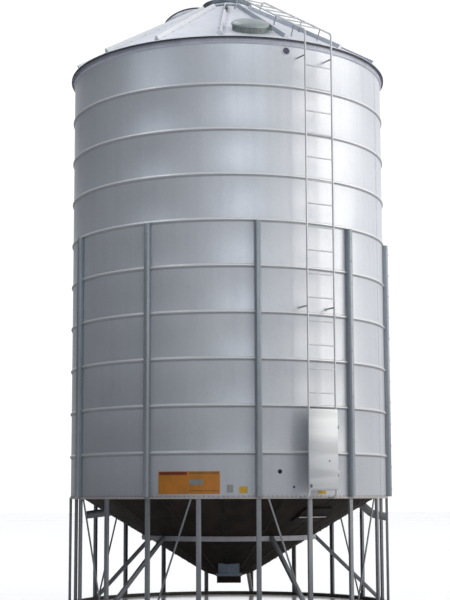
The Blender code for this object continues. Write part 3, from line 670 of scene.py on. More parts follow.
def sheet_finish(name, light, dark):
    """Thin rolled sheet with soft bands across it: the bands shape its relief and roughness, and are painted into its
    colour as reflections.
    """
    f = Finish(name, metallic=0.35, roughness=0.42)
    clouds = f.noise(2.0, 3.0)
    bands = f.noise(5.5, 2.0, (0.12, 0.12, 1.0))
    fine = f.noise(190.0, 2.0)
    lower = f.height().fit(GUARD_LOW, GUARD_HIGH, 1.0, 0.0)
    # The bands in the colour are painted reflections
    colour = f.mix(bands.fit(0.40, 0.62) * 0.7 + clouds * 0.3 + lower * 0.30 - 0.1, light, dark)
    rough = (fine - 0.5) * 0.1 + (bands - 0.5) * 0.3 + 0.42
    return f.feed(base_color=colour, roughness=rough, normal=f.bump(bands, 0.25, 0.01))


def printed(name, colour, worn):
    """A coloured plate: a flat ink that has faded in patches."""
    f = Finish(name, metallic=0.0, roughness=0.45)
    fade = f.noise(7.0, 5.0, (1, 1, 0.7), 0.6)
    fine = f.noise(240.0, 2.0)
    ink = f.mix((fade * 0.8 + fine * 0.2).fit(0.38, 0.66), colour, worn)
    return f.feed(base_color=ink, roughness=(fine - 0.5) * 0.2 + 0.45, normal=f.bump(fine, 0.05, 0.0005))


WALL = wall_finish("wall_zinc", "c6cbd3", "bec3cc")
ROOF = galvanised("roof_zinc", "d6d9e2", "caced8", 0.15, 0.55, 0.10, 45.0, 0.10, 0.3)
RIB = galvanised("rib_zinc", "d8dbe3", "ccd0d9", 0.12, 0.55, 0.08, 45.0, 0.10, 0.3)
# Lit and shaded copies of the rib's zinc: a painted highlight for one flank, painted shade for the other
LIT_FLANK = galvanised("rib_flank_painted_light", "f6f8fb", "eceef3", 0.05, 0.55, 0.05, 45.0, 0.10, 0.3)
SHADE_FLANK = galvanised("rib_flank_painted_shade", "99a1ae", "8992a0", 0.20, 0.55, 0.12)
# Near black with painted shade, for the eave's lip and the main lid's rim
SHADE_EDGE = weathered("eave_edge_painted_shade", "3a3e47", "2c2f36", 0.2, 0.55)
BAND = galvanised("band_zinc", "b6bac8", "a3a8b6", 0.25, 0.50, 0.25)
SKIRT = galvanised("skirt_zinc", "a8a2a2", "969090", 0.25, 0.50, 0.30)
RIVET = weathered("rivet_zinc", "8f9197", "787a80", 0.4, 0.45, 20.0)
STIFF = galvanised("stiffener_zinc", "8f969e", "818890", 0.45, 0.42, 0.12)
LEG = galvanised("leg_zinc", "83878c", "6b6f75", 0.35, 0.50, 0.25)
# The hopper's steel, made near black with painted shade, with real rust in patches
CONE_SHADED_SKIN = weathered("cone_steel_painted_shade", "2e2824", "1e1b19", 0.10, 0.70, 3.0, 0.25, 0.12)
SEAM = weathered("cone_seam_steel", "24211e", "1b1917", 0.10, 0.65, 4.0, 0.20, 0.2)
RING = galvanised("mid_ring_zinc", "a8a8b0", "8f9098", 0.30, 0.50, 0.25)
BASE = weathered("base_ring_steel", "4b4846", "383533", 0.3, 0.65, 4.0, 0.30)
NECK = galvanised("neck_zinc", "6f7984", "59636e", 0.50, 0.38, 0.20)
LID = galvanised("lid_zinc", "e0e2ec", "ced1dc", 0.35, 0.42, 0.15)
DARK = weathered("dark_fitting_steel", "4a5057", "373b41", 0.4, 0.5)
HATCH = galvanised("hatch_zinc", "a2abae", "909a9c", 0.35, 0.46, 0.15)
HATCH_NECK = galvanised("hatch_neck_zinc", "8b9593", "727c7a", 0.30, 0.46, 0.25)
CLAMP = galvanised("clamp_zinc", "d8dbe0", "bcc0c6", 0.60, 0.30, 0.10, 90.0, 0.05)
RUNG = galvanised("rung_zinc", "bfc2c6", "a8acb1", 0.40, 0.42, 0.15, 80.0, 0.05)
RAIL = galvanised("rail_zinc", "c6c9cd", "adb1b6", 0.35, 0.42, 0.12, 80.0, 0.05)
TUBE = galvanised("ladder_zinc", "999da3", "7d8188", 0.40, 0.42, 0.15, 80.0, 0.05)
SHEET = sheet_finish("guard_zinc", "bfc3c8", "a7abb1")
PANEL = galvanised("clean_out_zinc", "6c7888", "525d6c", 0.35, 0.48, 0.30)
MESH = weathered("vent_mesh_slate", "545a70", "474c60", 0.2, 0.6, 30.0)
HOLE_SHADE = weathered("hole_painted_shade", "0e1013", "08090b", 0.0, 0.85)
ORANGE = printed("plate_orange", "a8691d", "97611b")
RED = printed("plate_red", "6e2414", "5c2214")
OCHRE = printed("plate_ochre", "7a5520", "6a491c")
YELLOW = printed("plate_yellow", "b5911f", "a3831d")
GREY_PLATE = printed("plate_grey", "7c8180", "6c7170")


# Fixings, modelled once and copied

def bolt_template(head, rise, washer):
    """A hexagon head on its washer, standing on z = 0."""
    bpy.ops.mesh.primitive_cylinder_add(vertices=6, radius=head, depth=rise, location=(0, 0, rise / 2 + 0.002))
    settle()
    edit()
    select_faces(lambda centre, normal: normal.z > 0.9)
    bpy.ops.mesh.bevel(offset=head * 0.18, segments=1, affect="EDGES")
    head_part = done()
    bpy.ops.mesh.primitive_cylinder_add(vertices=10, radius=washer, depth=0.002, location=(0, 0, 0.001))
    disc = settle()
    return joined([head_part, disc])


def stud_template(radius, rise):
    """A low round rivet head, standing on z = 0."""
    bpy.ops.mesh.primitive_cylinder_add(vertices=8, radius=radius, depth=rise, location=(0, 0, rise / 2))
    settle()
    edit()
    select_faces(lambda centre, normal: normal.z > 0.9)
    bpy.ops.transform.resize(value=(0.55, 0.55, 1.0))
    done()
    return settle()


def facing_out(azimuth, radius, z):
    """A frame on a round wall with z out of it."""
    return frame_at(azimuth, radius, z) @ turn_about(90, "X")


def row(template, places, name, slot, finish):
    """One piece made of a copy of a template at each place."""
    finish_piece(joined(copies(template, places)), name, slot, finish)


# The shell

def bead_profile(z):
    """The rolled bead between two rings of sheets."""
    shape = ((-1.0, 0.0), (-0.80, 0.10), (-0.62, 0.42), (-0.45, 0.80), (-0.22, 0.97), (0.0, 1.0))
    low = [(WALL_R + BEAD_OUT * out, z + BEAD_HALF * up) for up, out in shape]
    high = [(WALL_R + BEAD_OUT * out, z - BEAD_HALF * up) for up, out in reversed(shape[:-1])]
    return low + high


def make_walls():
    top = SKIRT_Z + RINGS * RING_H
    profile = [(WALL_R, WALL_LOW)]
    for i in range(1, RINGS):
        profile += bead_profile(SKIRT_Z + i * RING_H)
    profile += [(WALL_R, top), (WALL_R - WALL_T, top), (WALL_R - WALL_T, WALL_LOW)]
    first = turned(profile, WALL_SEAM + HAIR, FULL_TURN / WALL_SECTORS - 2 * HAIR, 60)
    for i, wall in enumerate(sectors(first, WALL_SECTORS)):
        finish_piece(wall, f"wall_sheets_{i + 1}", "galvanised_wall", WALL, f"wall_{i + 1}")


def make_wall_laps():
    """Upright laps of the sheets with their bolts, away from the front."""
    outer, inner = WALL_R + 0.0022, WALL_R - 0.001
    low, top = SKIRT_Z + 0.060, SKIRT_Z + 5.940
    profile = [(outer, low)]
    for i in range(1, RINGS):
        profile += [(r + 0.0022, z) for r, z in bead_profile(SKIRT_Z + i * RING_H)]
    profile += [(outer, top), (inner, top), (inner, low)]
    lap = turned(profile, -LAP_HALF, 2 * LAP_HALF, 4)
    piece = joined(copies(lap, [turn_about(azimuth, "Z") for azimuth in LAP_AZIMUTHS]))
    finish_piece(piece, "wall_laps", "galvanised_wall", WALL)
    places = []
    for azimuth in LAP_AZIMUTHS:
        for i in range(RINGS):
            for k in range(6):
                z = SKIRT_Z + i * RING_H + 0.080 + k * 0.088
                if z < top - 0.020:
                    places += [facing_out(azimuth + side, outer, z) for side in (-LAP_HALF / 2, LAP_HALF / 2)]
    row(stud_template(0.006, 0.003), places, "wall_lap_rivets", "galvanised_wall", WALL)


def make_stiffeners():
    """Pressed uprights over every other leg."""
    half, face = STIFFENER_W / 2, STIFFENER_FACE_W / 2
    fold = -STIFFENER_D * 0.62
    height = STIFFENER_TOP - BAND_HIGH - GAP
    root = BEAD_OUT - 0.0006
    outline = [(-half, root, 0), (half, root, 0), (half, fold, 0), (face, -STIFFENER_D, 0),
               (-face, -STIFFENER_D, 0), (-half, fold, 0)]
    for side, k in STIFFENED:
        number = f"{side}_{k + 1}"
        place = frame_at(leg_azimuth(side, k), WALL_R + BEAD_OUT + 0.0006, BAND_HIGH + GAP)
        upright = prism(outline, (0, 0, height), place, 0.0035)
        finish_piece(upright, f"upright_{number}", "frame_steel", STIFF, f"stiffener_{number}")


def make_stiffener_bolts():
    """Bolts through the face of each upright into the sheets, two to a ring."""
    places = []
    for side, k in STIFFENED:
        for i in range(12):
            z = SKIRT_Z + 0.15 + 0.30 * i
            places.append(facing_out(leg_azimuth(side, k), WALL_R + BEAD_OUT + STIFFENER_D, z))
    row(bolt_template(0.008, 0.006, 0.012), places, "upright_bolts", "frame_steel", STIFF)


def make_rings():
    inner = WALL_R - WALL_T - 0.010
    under = -ROOF_T - GAP / math.cos(SLOPE)
    top = SKIRT_Z + RINGS * RING_H + GAP
    lip = 0.014
    eave = turned([
        (WALL_R + GAP, EAVE_RING_LOW), (EAVE_RING_OUT - lip, EAVE_RING_LOW),
        (EAVE_RING_OUT, EAVE_RING_LOW + lip), (EAVE_RING_OUT, EAVE_RING_LOW + 0.030),
        (EAVE_RING_OUT - 0.004, EAVE_RING_LOW + 0.036),
        (EAVE_RING_OUT - 0.004, roof_z(EAVE_RING_OUT) + under - 0.001), (inner, roof_z(inner) + under),
        (inner, top), (WALL_R + GAP, top),
    ])
    finish_piece(eave, "eave_angle", "ring_steel", BAND, "eave_ring")
    bend = 0.004
    band = turned([
        (WALL_R + GAP, WALL_LOW - GAP), (WALL_R + GAP, BAND_HIGH), (BAND_OUT - bend, BAND_HIGH),
        (BAND_OUT, BAND_HIGH - bend), (BAND_OUT, BAND_LOW + bend), (BAND_OUT - bend, BAND_LOW),
        (BAND_IN, BAND_LOW), (BAND_IN, WALL_LOW - GAP),
    ])
    finish_piece(band, "skirt_band", "ring_steel", SKIRT, "bottom_ring")
    low = MID_RING_HIGH - MID_RING_H
    inner_low = MID_RING_HIGH - MID_RING_T
    clear = GAP / math.sin(CONE)
    mid = turned([
        (MID_RING_R, MID_RING_HIGH - 0.003), (MID_RING_R, low + 0.002), (MID_RING_R - 0.002, low),
        (MID_RING_R - MID_RING_T, low), (MID_RING_R - MID_RING_T, inner_low),
        (cone_r(inner_low) + clear, inner_low), (cone_r(MID_RING_HIGH) + clear, MID_RING_HIGH),
        (MID_RING_R - 0.003, MID_RING_HIGH),
    ])
    finish_piece(mid, "hopper_ring", "ring_steel", RING, "mid_ring")
    base = turned([
        (BASE_OUT, BASE_H - 0.004), (BASE_OUT, 0.0), (BASE_IN, 0.0), (BASE_IN, BASE_H - 0.004),
        (BASE_IN + 0.004, BASE_H), (BASE_OUT - 0.004, BASE_H),
    ])
    finish_piece(base, "ground_ring", "ring_steel", BASE, "base_ring")


def make_band_rivets():
    places = [facing_out(i * FULL_TURN / BAND_RIVETS, WALL_R, BAND_HIGH + 0.0095) for i in range(BAND_RIVETS)]
    row(stud_template(0.0085, 0.006), places, "skirt_rivets", "ring_steel", RIVET)
    heads = [facing_out((i + 0.5) * FULL_TURN / MID_RING_RIVETS, MID_RING_R, MID_RING_HIGH - 0.032)
             for i in range(MID_RING_RIVETS)]
    row(stud_template(0.009, 0.005), heads, "hopper_ring_rivets", "ring_steel", RING)


# The roof

def make_roof():
    edge = NECK_R + GAP
    lip = 0.005
    sheet = turned([
        (edge, roof_z(edge)), (EAVE_R - lip, roof_z(EAVE_R - lip)), (EAVE_R - 0.001, EAVE_Z - 0.002),
        (EAVE_R - 0.001, EAVE_Z - 0.006), (EAVE_R - ROOF_T, EAVE_Z - 0.006),
        (EAVE_R - ROOF_T, roof_z(EAVE_R - ROOF_T) - ROOF_T), (edge, roof_z(edge) - ROOF_T),
    ], ROOF_SEAM + HAIR, FULL_TURN / ROOF_SECTORS - 2 * HAIR, 75)
    for i, sector in enumerate(sectors(sheet, ROOF_SECTORS)):
        if i == 0:
            cut(sector, hatch_tool())
        finish_piece(sector, f"roof_sheets_{i + 1}", "galvanised_roof", ROOF, f"roof_{i + 1}", smooth=25)


def make_eave_edge():
    """The rolled edge that hangs round the eave, dark with painted shade."""
    edge = turned([
        (EAVE_R - 0.010, EAVE_Z - 0.0063), (EAVE_R - 0.002, EAVE_Z - 0.0063), (EAVE_R, EAVE_Z - 0.009),
        (EAVE_R, EAVE_Z - EAVE_LIP + 0.004), (EAVE_R - 0.003, EAVE_Z - EAVE_LIP),
        (EAVE_R - ROOF_T, EAVE_Z - EAVE_LIP), (EAVE_R - ROOF_T, EAVE_Z - 0.0063),
    ])
    finish_piece(edge, "eave_edge", "galvanised_roof", SHADE_EDGE)


def hatch_frame():
    """The hatch's frame: x uphill, y away from its hinge, z out of the roof."""
    place = frame_at(HATCH_AZ, HATCH_R, roof_z(HATCH_R))
    return place @ Matrix.Rotation(HATCH_TILT, 4, "X") @ turn_about(90, "Z")


def hatch_tool():
    half = HATCH_NECK_DEPTH + HATCH_NECK_H
    bpy.ops.mesh.primitive_cylinder_add(vertices=96, radius=HATCH_NECK_R + GAP, depth=2 * half)
    return settle(hatch_frame())


def make_ribs():
    """The pressed rib over each roof joint, modelled once and turned round the axis."""
    foot, top = RIB_FOOT_W / 2, RIB_TOP_W / 2
    length = (RIB_TO - RIB_FROM) / math.cos(SLOPE)
    outline = [(-foot, 0, 0), (foot, 0, 0), (top, 0, RIB_H), (-top, 0, RIB_H)]
    rib = prism(outline, (0, length, 0))
    select_faces(lambda centre, normal: normal.z > 0.9)
    bpy.ops.mesh.bevel(offset=0.008, segments=3, affect="EDGES")
    done()
    start = roof_frame(0.0, RIB_TO) @ Matrix.Translation((0, 0, 0.0004))
    rib.data.transform(start)
    places = [turn_about(rib_azimuth(i), "Z") for i in range(RIBS)]
    for i, twin in enumerate(copies(rib, places)):
        finish_piece(twin, f"roof_rib_{i + 1}", "galvanised_roof", RIB)
        # Every rib's flank that faces one way takes painted shade; the other flank of the ribs on the left side takes
        # a painted highlight
        twin.data.materials.append(SHADE_FLANK)
        twin.data.materials.append(LIT_FLANK)
        across = side_dir(rib_azimuth(i))
        for face in twin.data.polygons:
            lean = face.normal.dot(across)
            if lean < -0.6:
                face.material_index = 1
            elif lean > 0.6 and i > RIBS // 2:
                face.material_index = 2


def make_rib_bolts():
    places = []
    for i in range(RIBS):
        for k in range(7):
            sheet = roof_frame(rib_azimuth(i), 2.10 - 0.25 * k)
            places += [sheet @ Matrix.Translation((side, 0, 0.001)) for side in (-0.052, 0.052)]
    row(bolt_template(0.008, 0.006, 0.012), places, "roof_bolts", "galvanised_roof", ROOF)


def make_roof_bracket():
    """A folded bracket on a rod from the collar, beside the front rib."""
    place = roof_frame(RIB_AZ, 0.90)
    arm = plate((-0.004, 0.0, 0.056), (0.034, 0.32, 0.062), place)
    leg = plate((0.030, 0.0, 0.001), (0.034, 0.32, 0.058), place, 0.001)
    stay = rod((0.016, 0.30, 0.062), (0.016, 0.545, 0.030), 0.007)
    stay.data.transform(place)
    finish_piece(joined([arm, leg, stay]), "roof_bracket", "galvanised_roof", DARK)


# The hopper and what hangs from it

def make_hopper():
    top_r = WALL_R - WALL_T - GAP
    shell = turned([
        (CONE_BOTTOM_R, cone_z(CONE_BOTTOM_R)), (top_r, cone_z(top_r)), (top_r, cone_z(top_r) + HOPPER_T),
        (CONE_BOTTOM_R, cone_z(CONE_BOTTOM_R) + HOPPER_T),
    ], ROOF_SEAM + HAIR, FULL_TURN / HOPPER_SECTORS - 2 * HAIR, 75)
    for i, sector in enumerate(sectors(shell, HOPPER_SECTORS)):
        finish_piece(sector, f"hopper_sheets_{i + 1}", "cone_steel", CONE_SHADED_SKIN, f"hopper_{i + 1}")


def make_hopper_seams():
    """The lapped seams down the cone, with their bolts."""
    start, end = 2.140, 0.45
    length = (start - end) / math.cos(CONE)
    strip = plate((-0.026, 0.0, -0.0035), (0.026, length, -0.0003), None, 0.001)
    strip.data.transform(cone_frame(0.0, start))
    turns = [turn_about(rib_azimuth(i), "Z") for i in range(RIBS)]
    finish_piece(joined(copies(strip, turns)), "hopper_seams", "cone_steel", SEAM)
    places = []
    for i in range(RIBS):
        for k in range(18):
            radius = 2.10 - 0.090 * k
            if abs(radius - MID_RING_R) > 0.05:
                lap = cone_frame(rib_azimuth(i), radius) @ Matrix.Translation((0, 0, -0.0035))
                places.append(lap @ turn_about(180, "X"))
    row(bolt_template(0.008, 0.005, 0.012), places, "hopper_bolts", "cone_steel", SEAM)


def make_outlet():
    finish_piece(eased("outlet_spout", 0.003), "outlet_funnel", "cone_steel", CONE_SHADED_SKIN, "outlet_spout")
    finish_piece(eased("clean_out_box", 0.003), "clean_out_panel", "frame_steel", PANEL, "clean_out_box")
    finish_piece(eased("cone_manhole", 0.004), "manhole_cover", "cone_steel", SEAM, "cone_manhole")
    bar = plate((-0.243, -0.010, -0.0490), (0.243, 0.010, -0.0455), cone_frame(MANHOLE_AZ, MANHOLE_R), 0.0008)
    finish_piece(bar, "manhole_bar", "cone_steel", CLAMP)
    for side in ("left", "right"):
        piece = eased(f"aeration_pipe_{side}", 0.0)
        finish_piece(piece, f"aeration_stub_{side}", "frame_steel", LEG, f"aeration_pipe_{side}", smooth=40)


# Legs

def make_legs():
    """Folded channels with a plate at each end."""
    low, high = BASE_H + GAP, BAND_LOW - GAP
    w, d, t, lip = LEG_W / 2, LEG_D / 2, 0.005, 0.012
    outline = [(-w, -d, 0), (w, -d, 0), (w, d, 0), (w - lip, d, 0), (w - lip, d - t, 0), (w - t, d - t, 0),
               (w - t, t - d, 0), (t - w, t - d, 0), (t - w, d - t, 0), (lip - w, d - t, 0), (lip - w, d, 0),
               (-w, d, 0)]
    channel = prism(outline, (0, 0, high - low - 0.016), Matrix.Translation((0, 0, low + 0.008)), 0.0018)
    foot = plate((-w, -d, low), (w, d, low + 0.008))
    head = plate((-w, -d, high - 0.008), (w, d, high))
    leg = joined([channel, foot, head])
    leg.data.transform(frame_at(0.0, LEG_R))
    legs = [(side, k) for side in ("right", "left") for k in range(LEGS_A_SIDE)]
    twins = copies(leg, [turn_about(leg_azimuth(side, k), "Z") for side, k in legs])
    for (side, k), twin in zip(legs, twins):
        finish_piece(twin, f"post_{side}_{k + 1}", "frame_steel", LEG, f"leg_{side}_{k + 1}")


def beam(start, end, width, depth, across):
    """A bar of rectangular section between two points, cut level at both ends."""
    run = end - start
    outline = []
    half = width / 2 * run.length / abs(run.z)
    for x, y in ((-half, -1), (half, -1), (half, 1), (-half, 1)):
        outline.append(start + across * x + across.cross(Vector((0, 0, 1))) * (y * depth / 2))
    return prism(outline, run, bevel=0.002)


def make_braces():
    for side, sign in (("right", 1), ("left", -1)):
        for k, head in BRACES.items():
            top_az, foot_az = leg_azimuth(side, head), leg_azimuth(side, k)
            towards = math.copysign(1.0, foot_az - top_az)
            over = BRACE_OVER if (side, k) == ("right", 1) else 0.0
            top = at(top_az, LEG_R, BAND_LOW - GAP) + side_dir(top_az) * ((BRACE_SIDE + over) * towards)
            foot = at(foot_az, LEG_R, BASE_H + GAP) - side_dir(foot_az) * ((BRACE_SIDE - over) * towards)
            bar = beam(foot, top, BRACE_W, BRACE_T, side_dir((top_az + foot_az) / 2))
            far = sign * (head - k) * (BRACE_SIDE + BRACE_W / 2)
            near, end = sorted((0.0, far))
            shoe = plate((near, -FOOT_PLATE_T / 2, BASE_H + GAP), (end, FOOT_PLATE_T / 2, BRACE_FOOT_H),
                         frame_at(foot_az, LEG_R))
            finish_piece(joined([bar, shoe]), f"brace_{side}_{k + 1}", "frame_steel", LEG)


def make_struts():
    """Square struts from the outside of the hopper's ring down to the ground ring."""
    face, floor = MID_RING_R + GAP, BASE_H + GAP
    slope = (STRUT_TOP_Z - floor) / (STRUT_FOOT_R - face)
    upright = STRUT_W / 2 * math.hypot(1.0, slope)
    run = upright / slope
    high = (STRUT_TOP_Z + upright - MID_RING_HIGH) / slope
    x = -STRUT_W / 2
    outline = [(x, -face, STRUT_TOP_Z - upright), (x, -face, MID_RING_HIGH), (x, -face - high, MID_RING_HIGH),
               (x, -STRUT_FOOT_R - run, floor), (x, -STRUT_FOOT_R + run, floor)]
    for side, numbers in STRUTS.items():
        for k in numbers:
            strut = prism(outline, (STRUT_W, 0, 0), frame_at(leg_azimuth(side, k)), 0.005)
            finish_piece(strut, f"strut_{side}_{k + 1}", "frame_steel", LEG)


# The neck and its lid

def make_neck():
    foot = roof_z(NECK_R) - ROOF_T
    seat = GAP / math.cos(SLOPE)
    flange = seat + NECK_FLANGE_T
    band = NECK_Z + NECK_BAND_H
    inner = NECK_R - NECK_T
    collar = turned([
        (NECK_R, foot), (NECK_R, roof_z(NECK_R) + seat), (NECK_FLANGE_R, roof_z(NECK_FLANGE_R) + seat),
        (NECK_FLANGE_R, roof_z(NECK_FLANGE_R) + flange), (NECK_R + 0.006, roof_z(NECK_R) + flange),
        (NECK_R, roof_z(NECK_R) + flange + 0.006), (NECK_R, NECK_Z), (NECK_BAND_R - 0.003, NECK_Z),
        (NECK_BAND_R, NECK_Z + 0.003), (NECK_BAND_R, band - 0.004), (NECK_BAND_R - 0.004, band),
        (inner + 0.002, band), (inner, band - 0.002), (inner, foot),
    ], steps=96)
    finish_piece(collar, "top_collar", "lid_steel", NECK, "top_neck")
    # The neck's wall under the band takes the pale lid finish, a painted reflection where the band's shade falls
    collar.data.materials.append(LID)
    for face in collar.data.polygons:
        across = math.hypot(face.center.x, face.center.y)
        face.material_index = int(face.center.z < NECK_Z - 0.001 and abs(across - NECK_R) < 0.003)
    turn = frame_at(LID_AZ)
    low, high = NECK_Z - 0.022, NECK_Z - 0.004
    reach = LID_HINGE_R + KNUCKLE_R
    parts = [plate((-EAR_TO, -reach, low), (EAR_TO, -NECK_R + NECK_T / 2, high), turn, 0.002)]
    for x0, x1 in EARS:
        parts.append(plate((x0, 0.001 - reach, low + 0.005),
                           (x1, KNUCKLE_R - LID_HINGE_R, LID_HINGE_Z + KNUCKLE_R), turn, 0.002))
    finish_piece(joined(parts), "lid_hinge_ears", "lid_steel", NECK)
    hoop = turned([
        (NECK_R + 0.0004, NECK_Z - 0.030), (NECK_R + 0.004, NECK_Z - 0.030), (NECK_R + 0.004, NECK_Z - 0.0004),
        (NECK_R + 0.0004, NECK_Z - 0.0004),
    ], steps=96)
    finish_piece(hoop, "top_collar_strap", "lid_steel", LID)


def clamp_template():
    """A toggle clamp: its base, its lever and its loop, standing on z = 0 with y up the neck."""
    base = plate((-0.014, -0.024, 0.0), (0.014, 0.016, 0.005), None, 0.001)
    lever = plate((-0.010, -0.034, 0.006), (0.010, 0.018, 0.012), None, 0.0015)
    loop = tube(rounded_path([Vector((-0.008, 0.010, 0.009)), Vector((-0.008, 0.040, 0.009)),
                              Vector((0.008, 0.040, 0.009)), Vector((0.008, 0.010, 0.009))], 0.005, 3),
                0.0022, 8)
    return joined([base, lever, loop])


def make_clamps():
    round_neck = [facing_out(azimuth, NECK_R, NECK_Z - 0.050) for azimuth in NECK_CLAMP_AZ]
    row(clamp_template(), round_neck, "top_clamps", "lid_steel", CLAMP)
    tilt = hatch_frame() @ turn_about(90, "Z")
    small = Matrix.Diagonal((0.6, 0.6, 0.6, 1.0))
    round_hatch = [tilt @ facing_out(azimuth, HATCH_NECK_R, 0.033) @ small for azimuth in HATCH_CLAMP_AZ]
    row(clamp_template(), round_hatch, "hatch_clamps", "lid_steel", TUBE)


def make_hinge_strap(hinge, near, rise, body):
    """The knuckle between the ears, and the tab that joins it to its lid."""
    knuckle = rod((-KNUCKLE_HALF, 0, 0), (KNUCKLE_HALF, 0, 0), KNUCKLE_R, 16)
    knuckle.data.transform(hinge)
    outline = [(-TAB_HALF, near, -0.006), (-TAB_HALF, near, rise), (-TAB_HALF, 0.0, 0.006), (-TAB_HALF, 0.0, -0.006)]
    tab = prism(outline, (2 * TAB_HALF, 0, 0), hinge, 0.001)
    finish_piece(joined([knuckle, tab]), f"{body}_hinge_strap", "lid_steel", DARK, body=body)


def make_main_lid():
    """The dished lid, made closed in its hinge's frame and then turned open."""
    hinge = frame_at(LID_AZ, LID_HINGE_R, LID_HINGE_Z) @ turn_about(LID_OPEN, "X")
    centre = hinge @ Matrix.Translation((0, LID_HINGE_R, 0))
    edge = -LID_DROP
    outer = dome(LID_R, edge + LID_SKIRT_H, LID_CROWN_H, 1.2, 12)
    inner = [(r * (1 - LID_T / LID_R), z - LID_T) for r, z in reversed(outer)]
    skirt = [(LID_R, edge + 0.006), (LID_R - 0.003, edge), (LID_R - LID_T, edge), (LID_R - LID_T, edge + 0.006)]
    lid = turned(outer + skirt + inner, steps=96, matrix=centre)
    finish_piece(lid, "main_lid_dish", "lid_steel", LID, "main_lid", body="main_lid", smooth=40)
    make_hinge_strap(hinge, LID_HINGE_R - LID_R + 0.0055, 0.014, "main_lid")
    # The rim takes the dark edge finish, painted shade under the lid's brim
    for name, drop, height, finish in (("main_lid_rim", 0.001, 0.026, SHADE_EDGE), ("main_lid_bead", 0.060, 0.009, LID)):
        hoop = turned([
            (LID_R - 0.0004, edge + drop), (LID_R + 0.0022, edge + drop + 0.002),
            (LID_R + 0.0022, edge + drop + height - 0.002), (LID_R - 0.0004, edge + drop + height),
        ], steps=96, matrix=centre)
        finish_piece(hoop, name, "lid_steel", finish, body="main_lid")


# The inspection hatch

def make_hatch():
    place = hatch_frame()
    inner = HATCH_NECK_R - HATCH_NECK_T
    neck = turned([
        (HATCH_NECK_R, -HATCH_NECK_DEPTH), (HATCH_NECK_R, HATCH_NECK_H - 0.002),
        (HATCH_NECK_R - 0.002, HATCH_NECK_H), (inner, HATCH_NECK_H), (inner, -HATCH_NECK_DEPTH),
    ], steps=96, matrix=place)
    finish_piece(neck, "hatch_collar", "lid_steel", HATCH_NECK, "hatch_neck")
    out, top = -HATCH_HINGE_OUT, HATCH_HINGE_H + KNUCKLE_R
    arm = HATCH_LID_LOW - 0.015
    ears = []
    for x0, x1 in EARS:
        outline = [(x0, HATCH_EAR_ROOT, HATCH_EAR_LOW), (x0, HATCH_EAR_ROOT, arm), (x0, out + KNUCKLE_R, arm),
                   (x0, out + KNUCKLE_R, top), (x0, out - KNUCKLE_R, top), (x0, out - KNUCKLE_R, HATCH_EAR_LOW)]
        ears.append(prism(outline, (x1 - x0, 0, 0), place, 0.0015))
    finish_piece(joined(ears), "hatch_hinge_ears", "lid_steel", HATCH_NECK)

    pivot = place @ Matrix.Translation((0, out, HATCH_HINGE_H))
    low = HATCH_LID_LOW - HATCH_HINGE_H
    rim = low + HATCH_LID_RIM_H
    under = HATCH_NECK_H + 0.006 - HATCH_HINGE_H
    inside = HATCH_LID_R - HATCH_LID_T
    crown = dome(HATCH_LID_R * 0.985, rim, HATCH_LID_CROWN_H, 1.15, 10)
    profile = crown + [(HATCH_LID_R, rim - 0.002), (HATCH_LID_R, low + 0.002), (HATCH_LID_R - 0.002, low),
                       (inside, low), (inside, under), (0.0, under)]
    lid = turned(profile, steps=96, matrix=pivot @ Matrix.Translation((0, HATCH_HINGE_OUT, 0)))
    finish_piece(lid, "hatch_lid_dish", "lid_steel", HATCH, "hatch_lid", body="hatch_lid", smooth=40)
    make_hinge_strap(pivot, HATCH_HINGE_OUT - HATCH_LID_R + 0.0056, 0.008, "hatch_lid")


# The ladder and its guard

def roof_end(side, out, radius):
    """Where a rod that drops from a rail square to the roof ends, just over the sheet."""
    down = 0.0
    for _ in range(6):
        point = ladder_point(side, out - down * math.sin(SLOPE), rail_z(out) - down * math.cos(SLOPE))
        down += (point.z - roof_z(math.hypot(point.x, point.y))) * math.cos(SLOPE)
    down -= GAP + radius * abs(side) / out * 0.6
    return ladder_point(side, out - down * math.sin(SLOPE), rail_z(out) - down * math.cos(SLOPE))


def wall_out(side, radius):
    return math.sqrt(radius ** 2 - side ** 2)


